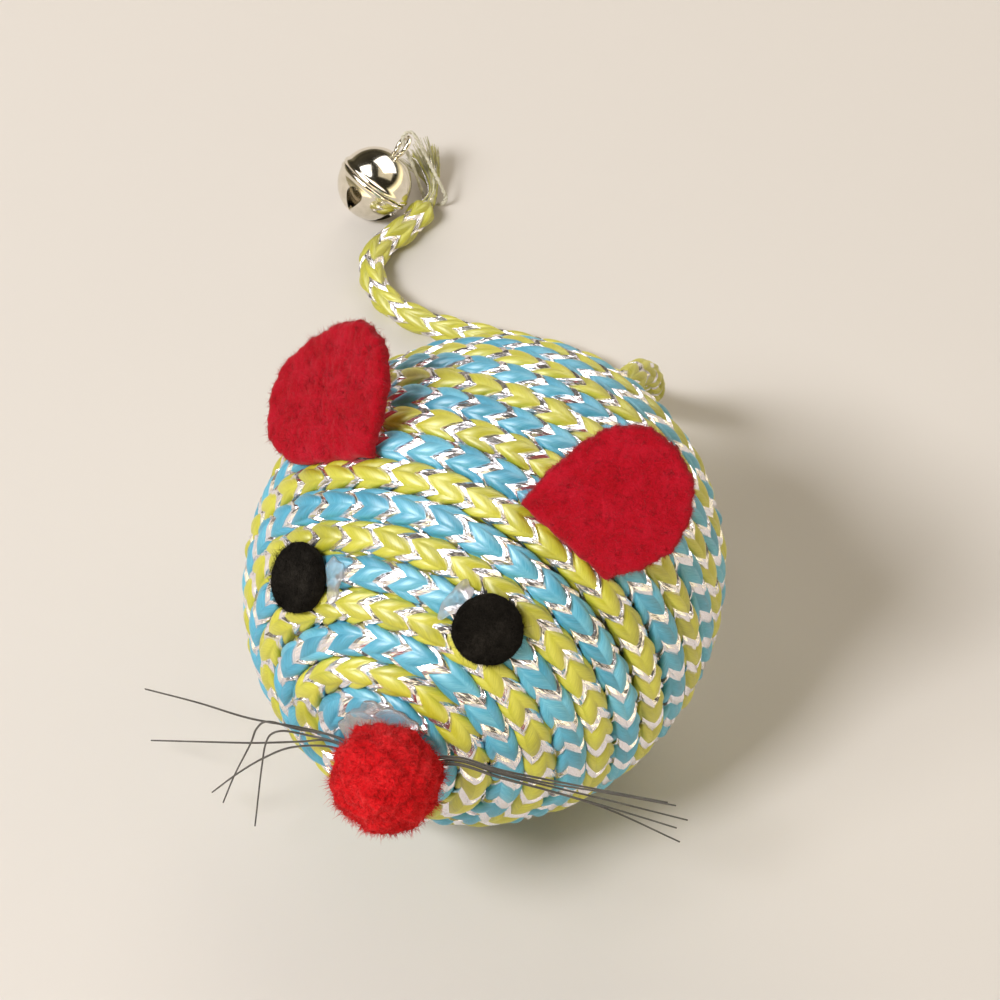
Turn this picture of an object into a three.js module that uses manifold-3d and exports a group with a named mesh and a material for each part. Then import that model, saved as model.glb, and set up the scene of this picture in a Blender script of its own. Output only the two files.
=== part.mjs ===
// Mouse cat toy: an egg-shaped ball wound with two braided cords, felt ears and
// eyes, a pompom nose, nylon whiskers, and a cord tail that ends in a jingle bell.
// Millimetres, +Z up. The nose points to -Y, the tail leaves at +Y, and the floor
// is z = 0. Everything on the body is laid out from the body's centre, which
// stands at (0, BODY_Y, BODY_H).
import * as THREE from 'three';
import { mergeVertices } from 'three/addons/utils/BufferGeometryUtils.js';
import Module from 'manifold-3d';

const wasm = await Module();
wasm.setup();

// ---------------------------------------------------------------- dimensions
const A = 30.94;            // outer half length of the wound body, along Y
const B = 28.68;            // outer half width and half height
const FLAT = 0.60;          // how far the coils are squashed flat underneath
const BODY_H = B - FLAT;    // height of the body's centre
const BODY_Y = -0.95;       // puts a lime coil, not a groove, over the origin

const CORD_W = 3.74;        // width of one flat braided cord on the body
const CORD_T = 3.5;         // its thickness
const TURN = 8.15;          // advance per turn: two cords side by side
const PHASE = 0.125;        // where the turquoise cord starts, in turns
const S_START = 4.0;        // first coil, as arc from the nose pole
const S_END = 5.0;          // last coil, as arc before the tail pole
const STEPS = 20;           // sweep stations per turn

const CORE_GAP = 0.25;
const CORE_A = A - CORD_T - CORE_GAP;
const CORE_B = B - CORD_T - CORE_GAP;
const CORE_WALL = 2.0;
const LAP = 2.6;            // lap joint of the two core halves
const LAP_WALL = 0.85;

const TAIL_D = 3.7;         // free tail cord
const EYE_R = 4.2;
const EYE_T = 1.3;
const EAR_T = 1.8;
const WHISKER_D = 0.36;
const NOSE_R = 6.9;
const BELL_R = 5.0;
const BELL_WALL = 0.45;
const SLIT_W = 0.8;
const SLIT_HOLE_D = 2.5;
const SHANK_D = 0.7;
const TIE_D = 0.6;
const PELLET_R = 1.3;

// ------------------------------------------------------------------ colours
const paint = (hex, roughness, metalness = 0) =>
  new THREE.MeshStandardMaterial({ color: new THREE.Color(hex), roughness, metalness });
const LIME = paint('#cfd04a', 0.6);
const TURQUOISE = paint('#62b6d9', 0.6);
const RED_FELT = paint('#b8152a', 0.95);
const RED_POMPOM = paint('#cc2028', 0.95);
const BLACK_FELT = paint('#141414', 0.95);
const GLUE = paint('#d9d6cc', 0.25);
const NYLON = paint('#3a3833', 0.4);
const CORE_PLASTIC = paint('#e6e2d8', 0.5);
const NICKEL = paint('#cfc3a6', 0.18, 1);
const STEEL = paint('#8d8f92', 0.35, 1);
const THREAD = paint('#c9c3b4', 0.6);
const TUFT = paint('#b9b48c', 0.8);

// ------------------------------------------------------------------ helpers
const V = (x, y, z) => new THREE.Vector3(x, y, z);

function closeMesh(positions, indices) {
  let geo = new THREE.BufferGeometry();
  geo.setAttribute('position', new THREE.Float32BufferAttribute(positions, 3));
  geo.setIndex(indices);
  geo = mergeVertices(geo, 1e-5);
  const p = geo.attributes.position.array, ix = geo.index.array, keep = [];
  let vol = 0;
  for (let i = 0; i < ix.length; i += 3) {
    const [a, b, c] = [ix[i], ix[i + 1], ix[i + 2]];
    if (a === b || b === c || a === c) continue;
    keep.push(a, b, c);
    const P = V(p[3 * a], p[3 * a + 1], p[3 * a + 2]);
    const Q = V(p[3 * b], p[3 * b + 1], p[3 * b + 2]);
    const R = V(p[3 * c], p[3 * c + 1], p[3 * c + 2]);
    vol += P.dot(Q.cross(R)) / 6;
  }
  if (vol < 0) for (let i = 0; i < keep.length; i += 3) [keep[i + 1], keep[i + 2]] = [keep[i + 2], keep[i + 1]];
  geo.setIndex(keep);
  return geo;
}

function plain(geometry) {
  const g = geometry.index ? geometry.clone() : mergeVertices(geometry.clone());
  for (const name of ['normal', 'uv', 'uv1', 'color']) if (g.attributes[name]) g.deleteAttribute(name);
  const m = mergeVertices(g, 1e-5);
  return closeMesh(Array.from(m.attributes.position.array), Array.from(m.index.array));
}

function toManifold(geo) {
  return new wasm.Manifold(new wasm.Mesh({
    numProp: 3,
    vertProperties: new Float32Array(geo.attributes.position.array),
    triVerts: new Uint32Array(geo.index.array),
  }));
}

function fromManifold(man) {
  const m = man.getMesh();
  const pos = [];
  for (let i = 0; i < m.vertProperties.length; i += m.numProp)
    pos.push(m.vertProperties[i], m.vertProperties[i + 1], m.vertProperties[i + 2]);
  return closeMesh(pos, Array.from(m.triVerts));
}

const cut = (geo, ...tools) =>
  fromManifold(tools.reduce((m, t) => m.subtract(toManifold(t)), toManifold(geo)));

// a closed bar swept along stations: each station is {o, u, v}, and section(i)
// gives its outline as [a, b] pairs along u and v
function loft(stations, section) {
  const pos = [], ix = [], n = section(0).length;
  stations.forEach((s, i) => {
    for (const [a, b] of section(i)) {
      const q = s.o.clone().addScaledVector(s.u, a).addScaledVector(s.v, b);
      pos.push(q.x, q.y, q.z);
    }
  });
  for (let i = 0; i + 1 < stations.length; i++)
    for (let k = 0; k < n; k++) {
      const a = i * n + k, b = i * n + (k + 1) % n, c = a + n, d = b + n;
      ix.push(a, c, b, b, c, d);
    }
  const last = (stations.length - 1) * n;
  for (const [base, flip] of [[0, false], [last, true]]) {
    const s = stations[base / n];
    pos.push(s.o.x, s.o.y, s.o.z);
    const c = pos.length / 3 - 1;
    for (let k = 0; k < n; k++) {
      const a = base + k, b = base + (k + 1) % n;
      if (flip) ix.push(c, b, a); else ix.push(c, a, b);
    }
  }
  return closeMesh(pos, ix);
}

const ring = (n, r, squash = 1) =>
  Array.from({ length: n }, (_, k) => {
    const t = (2 * Math.PI * (k + 0.5)) / n;
    return [r * Math.cos(t), r * squash * Math.sin(t)];
  });

// stations along a smooth curve, turned as little as possible on the way
function stationsAlong(points, count, up = V(0, 0, 1)) {
  const curve = new THREE.CatmullRomCurve3(points, false, 'centripetal');
  const out = [];
  let u = null;
  for (let i = 0; i <= count; i++) {
    const t = i / count;
    const o = curve.getPointAt(t), T = curve.getTangentAt(t).normalize();
    const seed = u ?? (Math.abs(T.dot(up)) > 0.9 ? V(1, 0, 0) : up);
    u = seed.clone().addScaledVector(T, -seed.dot(T)).normalize();
    out.push({ o, u: u.clone(), v: T.clone().cross(u).normalize() });
  }
  return out;
}

const tube = (points, radius, steps, sides) =>
  loft(stationsAlong(points, steps), () => ring(sides, radius));

// a solid of revolution about an axis: profile of [radius, height] pairs, closed
function lathe(profile, segments, origin, axis, closed = false) {
  const w = axis.clone().normalize();
  const seed = Math.abs(w.z) > 0.9 ? V(1, 0, 0) : V(0, 0, 1);
  const u = seed.addScaledVector(w, -seed.dot(w)).normalize(), v = w.clone().cross(u);
  const pos = [], ix = [], n = profile.length;
  for (let j = 0; j < segments; j++) {
    const t = (2 * Math.PI * j) / segments;
    for (const [r, h] of profile) {
      const q = origin.clone().addScaledVector(w, h)
        .addScaledVector(u, r * Math.cos(t)).addScaledVector(v, r * Math.sin(t));
      pos.push(q.x, q.y, q.z);
    }
  }
  const rows = closed ? n : n - 1;
  for (let j = 0; j < segments; j++)
    for (let k = 0; k < rows; k++) {
      const a = j * n + k, b = j * n + (k + 1) % n;
      const c = ((j + 1) % segments) * n + k, d = ((j + 1) % segments) * n + (k + 1) % n;
      ix.push(a, b, c, b, d, c);
    }
  return closeMesh(pos, ix);
}

// outward normal of the body at a point given from its centre
const normalAt = (q) => V(q.x / (B * B), q.y / (A * A), q.z / (B * B)).normalize();

// ------------------------------------------------------ the wound cord's path
const TABLE = [];
{
  let s = 0, last = null;
  for (let i = 0; i <= 3000; i++) {
    const t = (Math.PI * i) / 3000, r = B * Math.sin(t), y = -A * Math.cos(t);
    if (last) s += Math.hypot(r - last[0], y - last[1]);
    TABLE.push([s, t]);
    last = [r, y];
  }
}
const MERIDIAN = TABLE[3000][0];
function polarOf(s) {
  let lo = 0, hi = 3000;
  while (hi - lo > 1) { const mid = (lo + hi) >> 1; if (TABLE[mid][0] < s) lo = mid; else hi = mid; }
  const [s0, t0] = TABLE[lo], [s1, t1] = TABLE[hi];
  return t0 + ((s - s0) / (s1 - s0)) * (t1 - t0);
}
// a point of the body: s is the arc from the nose pole and turn the clockwise
// angle seen from the nose, 0 at +X, in turns
function onBody(s, turn, depth = 0) {
  const t = polarOf(s), phi = -2 * Math.PI * turn;
  const q = V(B * Math.sin(t) * Math.cos(phi), -A * Math.cos(t), B * Math.sin(t) * Math.sin(phi));
  return q.addScaledVector(normalAt(q), -depth);
}

function windingCord(offset) {
  // s = TURN * (turn + PHASE + offset), so the coil goes round as it moves back
  const first = S_START / TURN - PHASE - offset;
  const last = (MERIDIAN - S_END) / TURN - PHASE - offset;
  const turns = [first];
  for (let k = Math.ceil(first * STEPS + 0.3); k / STEPS < last - 0.3 / STEPS; k++) turns.push(k / STEPS);
  turns.push(last);
  const at = (turn) => onBody(TURN * (turn + PHASE + offset), turn, CORD_T / 2);
  const stations = turns.map((turn) => {
    const o = at(turn), T = at(turn + 0.002).sub(at(turn - 0.002)).normalize();
    const n0 = normalAt(o), n = n0.clone().addScaledVector(T, -n0.dot(T)).normalize();
    return { o, u: T.clone().cross(n).normalize(), v: n };
  });
  const w = CORD_W / 2, h = CORD_T / 2;
  // both ends of the cord are pinched where they tuck in at the poles
  const pinch = (i) => Math.min(1, 0.62 + 0.095 * Math.min(i, stations.length - 1 - i));
  const bar = loft(stations, (i) =>
    [[1, 0], [0.58, 1], [-0.58, 1], [-1, 0], [-0.58, -1], [0.58, -1]].map(([a, b]) => [a * w * pinch(i), b * h]));
  const floor = new THREE.BoxGeometry(90, 90, 20);
  floor.translate(0, 0, -BODY_H - 10);
  return cut(bar, plain(floor));
}

// ------------------------------------------------------------------ the model
const toy = new THREE.Group();
toy.name = 'mouse_cat_toy';
const body = new THREE.Group();
body.name = 'laid_out_from_body_centre';
body.position.set(0, BODY_Y, BODY_H);
toy.add(body);

function add(name, geometry, material) {
  const mesh = new THREE.Mesh(geometry, material);
  mesh.name = name;
  body.add(mesh);
}

// hollow moulded core in two halves, with a lap joint at the middle
{
  const arc = (a, b, y0, y1, n) => Array.from({ length: n + 1 }, (_, i) => {
    const t0 = Math.acos(-y0 / a), t1 = Math.acos(-y1 / a), t = t0 + ((t1 - t0) * i) / n;
    return [Math.abs(b * Math.sin(t)) < 1e-6 ? 0 : b * Math.sin(t), -a * Math.cos(t)];
  });
  const ai = CORE_A - CORE_WALL, bi = CORE_B - CORE_WALL;
  const rAt = (b, a, y) => b * Math.sqrt(1 - (y * y) / (a * a));
  const lapIn = CORE_B - CORE_WALL, lapOut = lapIn + LAP_WALL;
  const front = [
    ...arc(CORE_A, CORE_B, -CORE_A, 0, 7),
    [lapOut, 0], [lapOut - 0.15, LAP], [lapIn - 0.15, LAP], [lapIn, 0],
    ...arc(ai, bi, -ai, -0.6, 6).reverse(),
  ];
  const g = 0.25;
  const rear = [
    ...arc(CORE_A, CORE_B, g, CORE_A, 7).reverse(),
    [lapOut + g, g], [lapOut + g, LAP + g], [rAt(bi, ai, LAP + g), LAP + g],
    ...arc(ai, bi, LAP + 1.2, ai, 6),
  ];
  add('core_front_shell', lathe(front, 20, V(0, 0, 0), V(0, 1, 0)), CORE_PLASTIC);
  add('core_rear_shell', lathe(rear, 20, V(0, 0, 0), V(0, 1, 0)), CORE_PLASTIC);
}

add('winding_cord_turquoise', windingCord(0), TURQUOISE);
add('winding_cord_lime', windingCord(0.5), LIME);

// -------------------------------------------------------------------- the ears
// outline in the ear's own plane: across the base, then up
const EARS = {
  left: {
    base: [V(9.59, -9.05, 26.69), V(20.71, -8.99, 19.39)], lean: 55,
    outline: [[-7.09, 3.66], [-6.71, 7.85], [-6.07, 11.67], [-4.74, 14.28], [-2.53, 16.36], [0.5, 17.1],
      [3.49, 16.61], [6.21, 15.34], [7.95, 13.22], [9.39, 10.15], [9.73, 7.2], [8.7, 3.8]],
    half: 6.65,
  },
  right: {
    base: [V(-20.0, -9.96, 19.73), V(-9.98, -10.07, 26.23)], lean: 62,
    outline: [[-9.1, 2.2], [-10.0, 5.35], [-8.8, 10.65], [-5.5, 13.4], [-0.5, 15.4], [4.5, 16.0],
      [7.6, 14.5], [9.4, 11.7], [9.6, 7.55], [8.1, 3.2]],
    half: 5.97,
  },
};
function earFrame({ base: [p, q], lean }) {
  const mid = p.clone().add(q).multiplyScalar(0.5);
  const e1 = q.clone().sub(p).normalize();
  const n0 = normalAt(mid), n = n0.clone().addScaledVector(e1, -n0.dot(e1)).normalize();
  const back = n.clone().cross(e1);
  if (back.y < 0) back.negate();
  const t = (lean * Math.PI) / 180;
  const e2 = n.clone().multiplyScalar(Math.cos(t)).addScaledVector(back, Math.sin(t));
  const e3 = e1.clone().cross(e2).normalize();
  mid.addScaledVector(n, 0.4);
  return { mid, e1, e2, e3, n, back };
}
for (const [side, ear] of Object.entries(EARS)) {
  const f = earFrame(ear), h = ear.half;
  const shape = new THREE.Shape();
  shape.moveTo(h, 0);
  shape.lineTo(0.5 * h, 1.05);
  shape.lineTo(0, 1.45);
  shape.lineTo(-0.5 * h, 1.05);
  shape.lineTo(-h, 0);
  shape.splineThru([...ear.outline, [h, 0]].map(([x, y]) => new THREE.Vector2(x, y)));
  const slab = new THREE.ExtrudeGeometry(shape, { depth: EAR_T, bevelEnabled: false, curveSegments: 3 });
  slab.translate(0, 0, -EAR_T / 2);
  // the foot's two lower edges are rounded off, so that it can roll as the ear folds
  const edges = [1, -1].map((way) => {
    const tool = new THREE.BoxGeometry(30, 2, 2);
    tool.rotateX(way * Math.PI / 4);
    tool.translate(0, -0.442, way * 1.342);
    return plain(tool);
  });
  const felt = cut(plain(slab), ...edges);
  felt.applyMatrix4(new THREE.Matrix4().makeBasis(f.e1, f.e2, f.e3).setPosition(f.mid));
  add(`ear_${side}`, plain(felt), RED_FELT);

  // glue bead in the groove behind the ear's foot
  const centre = f.mid.clone().addScaledVector(f.back, 2.6 + 0.09 * (ear.lean - 55));
  const beads = [];
  for (let i = 0; i <= 8; i++) {
    const x = (i / 4 - 1) * (h - 1.4);
    const q = centre.clone().addScaledVector(f.e1, x);
    const k = 1 / Math.sqrt((q.x * q.x) / (B * B) + (q.y * q.y) / (A * A) + (q.z * q.z) / (B * B));
    q.multiplyScalar(k);
    q.addScaledVector(normalAt(q), 0.42);
    beads.push(q);
  }
  add(`ear_glue_${side}`, loft(stationsAlong(beads, 8, f.n), (i) =>
    ring(6, 0.29 * Math.sin((Math.PI * (i + 0.9)) / 9.8) + 0.04)), GLUE);
}

// -------------------------------------------------------------------- the eyes
const EYES = { left: V(11.51, -21.19, 18.07), right: V(-12.48, -22.53, 15.9) };
const EYE_GLUE = { left: V(7.1, -21.1, 20.9), right: V(-6.4, -22.8, 19.1) };
function ontoBody(p, grow) {
  const k = 1 / Math.sqrt((p.x * p.x) / (B * B) + (p.y * p.y) / (A * A) + (p.z * p.z) / (B * B));
  const q = p.clone().multiplyScalar(k);
  return q.addScaledVector(normalAt(q), grow);
}
for (const side of ['left', 'right']) {
  const foot = ontoBody(EYES[side], 0.35), n = normalAt(foot);
  add(`eye_${side}`, lathe([[0, 0], [EYE_R, 0], [EYE_R, EYE_T - 0.3], [EYE_R - 0.3, EYE_T], [0, EYE_T]], 24, foot, n), BLACK_FELT);

  // glue that was squeezed out beside the felt disc
  const g = ontoBody(EYE_GLUE[side], 0.75), gn = normalAt(g);
  const away = g.clone().sub(foot);
  away.addScaledVector(gn, -away.dot(gn)).normalize();
  const start = foot.clone().addScaledVector(away, EYE_R + 1.15);
  const c = ontoBody(start, 0.75), cn = normalAt(c);
  const along = cn.clone().cross(away).normalize();
  const across = along.clone().cross(cn).normalize();
  const ball = new THREE.SphereGeometry(1, 12, 8);
  ball.applyMatrix4(new THREE.Matrix4().makeBasis(
    along.clone().multiplyScalar(2.3), across.clone().multiplyScalar(0.8), cn.clone().multiplyScalar(0.5)).setPosition(c));
  add(`eye_glue_${side}`, plain(ball), GLUE);
}

// ------------------------------------------------------- nose, its glue, whiskers
const NOSE_FOOT = ontoBody(V(5.0, -30.3, 2.8), 0);
const NOSE_N = normalAt(NOSE_FOOT);
const NOSE_C = V(5.6, -35.3, 3.05);
{
  const cutAt = 2.6;        // flat where it is glued down
  const a0 = Math.acos(-cutAt / NOSE_R);
  const profile = [[0, -cutAt]];
  for (let i = 0; i <= 10; i++) {
    const t = a0 * (1 - i / 10);
    profile.push([i === 10 ? 0 : NOSE_R * Math.sin(t), NOSE_R * Math.cos(t)]);
  }
  add('nose_pompom', lathe(profile, 20, NOSE_C, NOSE_N), RED_POMPOM);
}
{
  const egg = (grow) => {
    const g = new THREE.SphereGeometry(1, 64, 40);
    g.rotateX(Math.PI / 2);
    g.scale(B + grow, A + grow, B + grow);
    return plain(g);
  };
  const at = ontoBody(V(2.6, -31.1, 3.7), 0);
  const plug = lathe([[0, -4], [4.6, -4], [4.6, 4], [0, 4]], 20, at, normalAt(at));
  const disc = toManifold(egg(0.8)).subtract(toManifold(egg(0.32))).intersect(toManifold(plug));
  add('nose_glue', fromManifold(disc), GLUE);
}
// each nylon strand runs from its tip on one side, behind the nose at height h
// over the coils, to its tip on the other side; mid holds x and z pairs
const WHISKERS = [
  { left: [[-34.99, -22.69, -15.62], [-24.66, -26.79, -8.56], [-16.45, -29.15, -4.45], [-5.2, -31.45, 1.4]],
    h: 1.2, mid: [[1.0, 2.34], [4.6, 2.88], [8.4, 3.45]],
    right: [[11.94, -29.32, 4.0], [16.55, -27.81, 2.7], [21.81, -25.78, 1.62], [27.36, -23.28, 0.24], [34.44, -19.55, -2.13]] },
  { left: [[-34.13, -23.43, -24.06], [-23.87, -27.4, -14.65], [-14.94, -29.85, -7.46], [-7.82, -31.23, -1.9], [-4.4, -31.5, 0.4]],
    h: 1.2, mid: [[1.0, 1.42], [4.6, 2.03], [8.4, 2.68]],
    right: [[11.96, -29.36, 3.38], [16.57, -27.85, 2.0], [21.84, -25.82, 0.6], [28.04, -23.0, -1.48], [36.56, -18.36, -5.46]] },
  { left: [[-20.7, -29.12, -22.48], [-18.42, -29.76, -15.23], [-15.54, -30.46, -7.15], [-14.47, -30.7, -3.65], [-12.85, -31.04, -1.21], [-7.88, -31.95, 0.99], [-3.56, -32.1, 2.5]],
    h: 1.82, mid: [[1.0, 2.95], [4.6, 3.3], [8.4, 3.8]],
    right: [[12.22, -29.9, 4.3], [16.82, -28.4, 3.1], [22.07, -26.45, 1.9], [27.82, -23.85, 0.7], [35.59, -19.7, -1.9]] },
  { left: [[-14.95, -31.4, -21.3], [-13.39, -31.73, -8.9], [-12.61, -31.88, -4.17], [-11.75, -32.05, -1.9], [-9.88, -32.3, 0.0], [-5.92, -32.4, 1.3], [-3.09, -32.3, 1.85]],
    h: 1.82, mid: [[1.0, 2.2], [4.6, 2.62], [8.4, 3.12]],
    right: [[12.24, -29.95, 3.6], [16.84, -28.5, 2.3], [22.09, -26.5, 0.7], [28.28, -23.7, -1.8], [35.79, -19.7, -5.9]] },
  { left: [[-22.84, -28.08, -22.85], [-18.72, -29.0, -16.26], [-14.15, -30.1, -9.6], [-9.5, -31.0, -4.1], [-3.9, -31.5, -0.5]],
    h: 1.2, mid: [[1.0, 0.6], [4.6, 1.3], [8.4, 2.05]],
    right: [[11.98, -29.41, 2.7], [16.59, -27.9, 1.35], [21.86, -25.86, -0.2], [27.87, -23.13, -2.9], [35.85, -18.83, -9.35]] },
];
WHISKERS.forEach((w, i) => {
  const behind = w.mid.map(([x, z]) => ontoBody(V(x, -A * Math.sqrt(1 - (x * x + z * z) / (B * B)), z), w.h));
  const pts = [...w.left.map((p) => V(...p)), ...behind, ...w.right.map((p) => V(...p))];
  add(`whisker_${i + 1}`, tube(pts, WHISKER_D / 2, 24, 5), NYLON);
});

// ----------------------------------------------------------------- the tail cord
const FLOOR = -BODY_H;
const LIE = FLOOR + TAIL_D / 2 + 0.1;      // height of the cord's middle on the floor
const TAIL = [
  [0, 27.6, 0], [0, 31.2, 0], [0, 36.2, -0.4], [-0.4, 41.2, -2.6], [-1.2, 46.0, -7.0], [-2.4, 50.2, -13.0],
  [-4.4, 53.9, -19.2], [-7.8, 57.2, -24.0], [-12.4, 59.6, LIE + 0.05], [-18.2, 60.6, LIE], [-25.0, 60.0, LIE],
  [-31.8, 58.7, LIE], [-38.0, 57.8, LIE], [-43.4, 58.2, LIE], [-47.8, 60.4, LIE], [-50.6, 64.0, LIE],
  [-51.1, 67.6, LIE], [-50.2, 71.2, LIE], [-49.5, 74.8, LIE], [-49.4, 78.5, LIE],
].map((p) => V(...p));
add('tail_cord', tube(TAIL, TAIL_D / 2, 40, 8), LIME);

// frayed end of the cord: a neck under the tie, then an open tuft
{
  const pts = [V(-49.4, 78.85, LIE), V(-49.5, 80.4, LIE), V(-50.3, 82.6, LIE + 0.35), V(-51.5, 84.6, LIE + 0.7), V(-52.8, 86.6, LIE + 0.8)];
  const radii = [0.9, 0.92, 1.0, 1.5, 2.0, 2.4, 2.6, 2.55, 1.9];
  add('tail_tuft', loft(stationsAlong(pts, 8), (i) => ring(10, radii[i])), TUFT);
}

// --------------------------------------------------------------------- the bell
const BELL_C = V(-56.1, 75.1, FLOOR + BELL_R + 0.1);
const BELL_UP = V(0.324, 0.676, 0.6625).normalize();       // towards the shank
{
  const ri = BELL_R - BELL_WALL, g = 0.12, lip = 0.18;
  const arc = (r, t0, t1, n) => Array.from({ length: n + 1 }, (_, i) => {
    const t = t0 + ((t1 - t0) * i) / n;
    return [Math.abs(Math.sin(t)) < 1e-9 ? 0 : r * Math.sin(t), r * Math.cos(t)];
  });
  const half = Math.PI / 2;
  const tTop = half - 0.14;
  const top = [
    ...arc(BELL_R, 0, tTop, 6), [BELL_R + lip, 0.6], [BELL_R + lip, g], [ri, g], ...arc(ri, 0.25, half - 0.12, 5).reverse(), [0, ri],
  ];
  add('bell_top_shell', lathe(top, 18, BELL_C, BELL_UP), NICKEL);
  const bot = [
    ...arc(BELL_R, Math.PI, half + 0.14, 6), [BELL_R + lip, -0.6], [BELL_R + lip, -g], [ri, -g], ...arc(ri, half + 0.12, Math.PI, 6),
  ];
  const bowl = lathe(bot, 18, BELL_C, BELL_UP);
  // cross slits with a round hole at each end; the first faces the viewer's side
  const hole = V(-0.54, -0.35, 0.77);
  const right = V(0.8866, 0.4625, 0), up = V(-0.339, 0.6499, 0.6802), out = V(0.3146, -0.6031, 0.733);
  const facing = right.multiplyScalar(hole.x).addScaledVector(up, hole.y).addScaledVector(out, hole.z);
  const u = facing.addScaledVector(BELL_UP, -facing.dot(BELL_UP)).normalize();
  const v = BELL_UP.clone().cross(u).normalize();
  const reach = (62 * Math.PI) / 180;
  const tools = [];
  for (const dir of [u, v]) {
    const other = BELL_UP.clone().cross(dir).normalize();
    const box = new THREE.BoxGeometry(2 * (BELL_R + 1) * Math.sin(reach), SLIT_W, 6);
    box.translate(0, 0, -3 - BELL_R * Math.cos(reach));
    box.applyMatrix4(new THREE.Matrix4().makeBasis(dir, other, BELL_UP).setPosition(BELL_C));
    tools.push(plain(box));
    for (const sign of [1, -1]) {
      const axis = dir.clone().multiplyScalar(sign * Math.sin(reach)).addScaledVector(BELL_UP, -Math.cos(reach));
      const from = BELL_C.clone().addScaledVector(axis, BELL_R - 1.6);
      tools.push(lathe([[0, 0], [SLIT_HOLE_D / 2, 0], [SLIT_HOLE_D / 2, 3], [0, 3]], 8, from, axis));
    }
  }
  add('bell_bottom_shell', cut(bowl, ...tools), NICKEL);
}
// wire shank on top of the bell; its eye takes the tie
const EYE_C = BELL_C.clone().addScaledVector(BELL_UP, 6.35);
const SHANK_R = 1.35;
const TIE_AT = V(-49.4, 79.6, LIE);        // middle of the neck inside the tie
const WIRE_TOP = EYE_C.clone().addScaledVector(BELL_UP, SHANK_R);
const TO_NECK = TIE_AT.clone().sub(WIRE_TOP).normalize();
const DOWN = BELL_UP.clone().negate();
const WIRE_T = DOWN.clone().cross(TO_NECK).normalize();    // the wire's run at its top
{
  const pts = [];
  for (let i = 0; i <= 14; i++) {
    const t = (-138 + (276 * i) / 14) * Math.PI / 180;
    pts.push(EYE_C.clone().addScaledVector(BELL_UP, SHANK_R * Math.cos(t)).addScaledVector(WIRE_T, SHANK_R * Math.sin(t)));
  }
  add('bell_shank', loft(stationsAlong(pts, 14, WIRE_T.clone().cross(BELL_UP)), () => ring(6, SHANK_D / 2)), NICKEL);
}
// thread that runs through the shank's eye and round the neck of the cord's end
const TIE_PATH = [];
{
  const side = TO_NECK.clone().cross(WIRE_T).normalize();   // across the two legs
  const deg = Math.PI / 180;
  if (side.dot(DOWN) < 0) side.negate();
  // over the wire, from the leg outside the eye to the leg through it
  for (const a of [-80, -35, 0, 35, 80]) {
    TIE_PATH.push(WIRE_TOP.clone().addScaledVector(TO_NECK, -0.85 * Math.cos(a * deg)).addScaledVector(side, 0.85 * Math.sin(a * deg)));
  }
  const loop = (a, dy) => V(TIE_AT.x + 1.55 * Math.cos(a * deg), TIE_AT.y + dy, TIE_AT.z + 1.55 * Math.sin(a * deg));
  // down the leg that passed through the eye, round the neck and back up
  const inner = WIRE_TOP.clone().addScaledVector(TO_NECK, 3.4).addScaledVector(side, 1.0);
  TIE_PATH.push(inner);
  TIE_PATH.push(loop(180, -0.42), loop(225, -0.36), loop(270, -0.1), loop(315, 0.15), loop(0, 0.3), loop(40, 0.4));
  const outer = WIRE_TOP.clone().addScaledVector(TO_NECK, 3.4).addScaledVector(side, -1.1);
  TIE_PATH.push(outer);
}
{
  const curve = new THREE.CatmullRomCurve3(TIE_PATH, true, 'centripetal');
  const n = 40, st = [];
  let u = null;
  for (let i = 0; i < n; i++) {
    const o = curve.getPointAt(i / n), T = curve.getTangentAt(i / n).normalize();
    const seed = u ?? V(0, 1, 0);
    u = seed.clone().addScaledVector(T, -seed.dot(T)).normalize();
    st.push({ o, u: u.clone(), v: T.clone().cross(u) });
  }
  // closed ring of stations; the twist left over is small and is spread by matching
  const sec = ring(6, TIE_D / 2), pos = [], ix = [];
  for (const s of st) for (const [a, b] of sec) {
    const q = s.o.clone().addScaledVector(s.u, a).addScaledVector(s.v, b);
    pos.push(q.x, q.y, q.z);
  }
  // pick the shift that joins the last section to the first with least twist
  let best = 0, bd = Infinity;
  for (let k = 0; k < 6; k++) {
    let d = 0;
    for (let j = 0; j < 6; j++) {
      const a = (n - 1) * 6 + j, b = (j + k) % 6;
      d += Math.hypot(pos[3 * a] - pos[3 * b], pos[3 * a + 1] - pos[3 * b + 1], pos[3 * a + 2] - pos[3 * b + 2]);
    }
    if (d < bd) { bd = d; best = k; }
  }
  for (let i = 0; i < n; i++)
    for (let k = 0; k < 6; k++) {
      const wrap = i + 1 === n;
      const a = i * 6 + k, b = i * 6 + (k + 1) % 6;
      const c = wrap ? (k + best) % 6 : a + 6, d = wrap ? (k + 1 + best) % 6 : (i + 1) * 6 + (k + 1) % 6;
      ix.push(a, c, b, b, c, d);
    }
  add('bell_tie', closeMesh(pos, ix), THREAD);
}
// loose pellet at the bottom of the bell
{
  const ball = new THREE.SphereGeometry(PELLET_R, 14, 10);
  const c = BELL_C.clone().add(V(0, 0, -(BELL_R - BELL_WALL - PELLET_R - 0.1)));
  ball.translate(c.x, c.y, c.z);
  add('bell_pellet', plain(ball), STEEL);
}

export default toy;
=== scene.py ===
import math
import bpy
import numpy as np
from mathutils import Matrix, Vector


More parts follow.
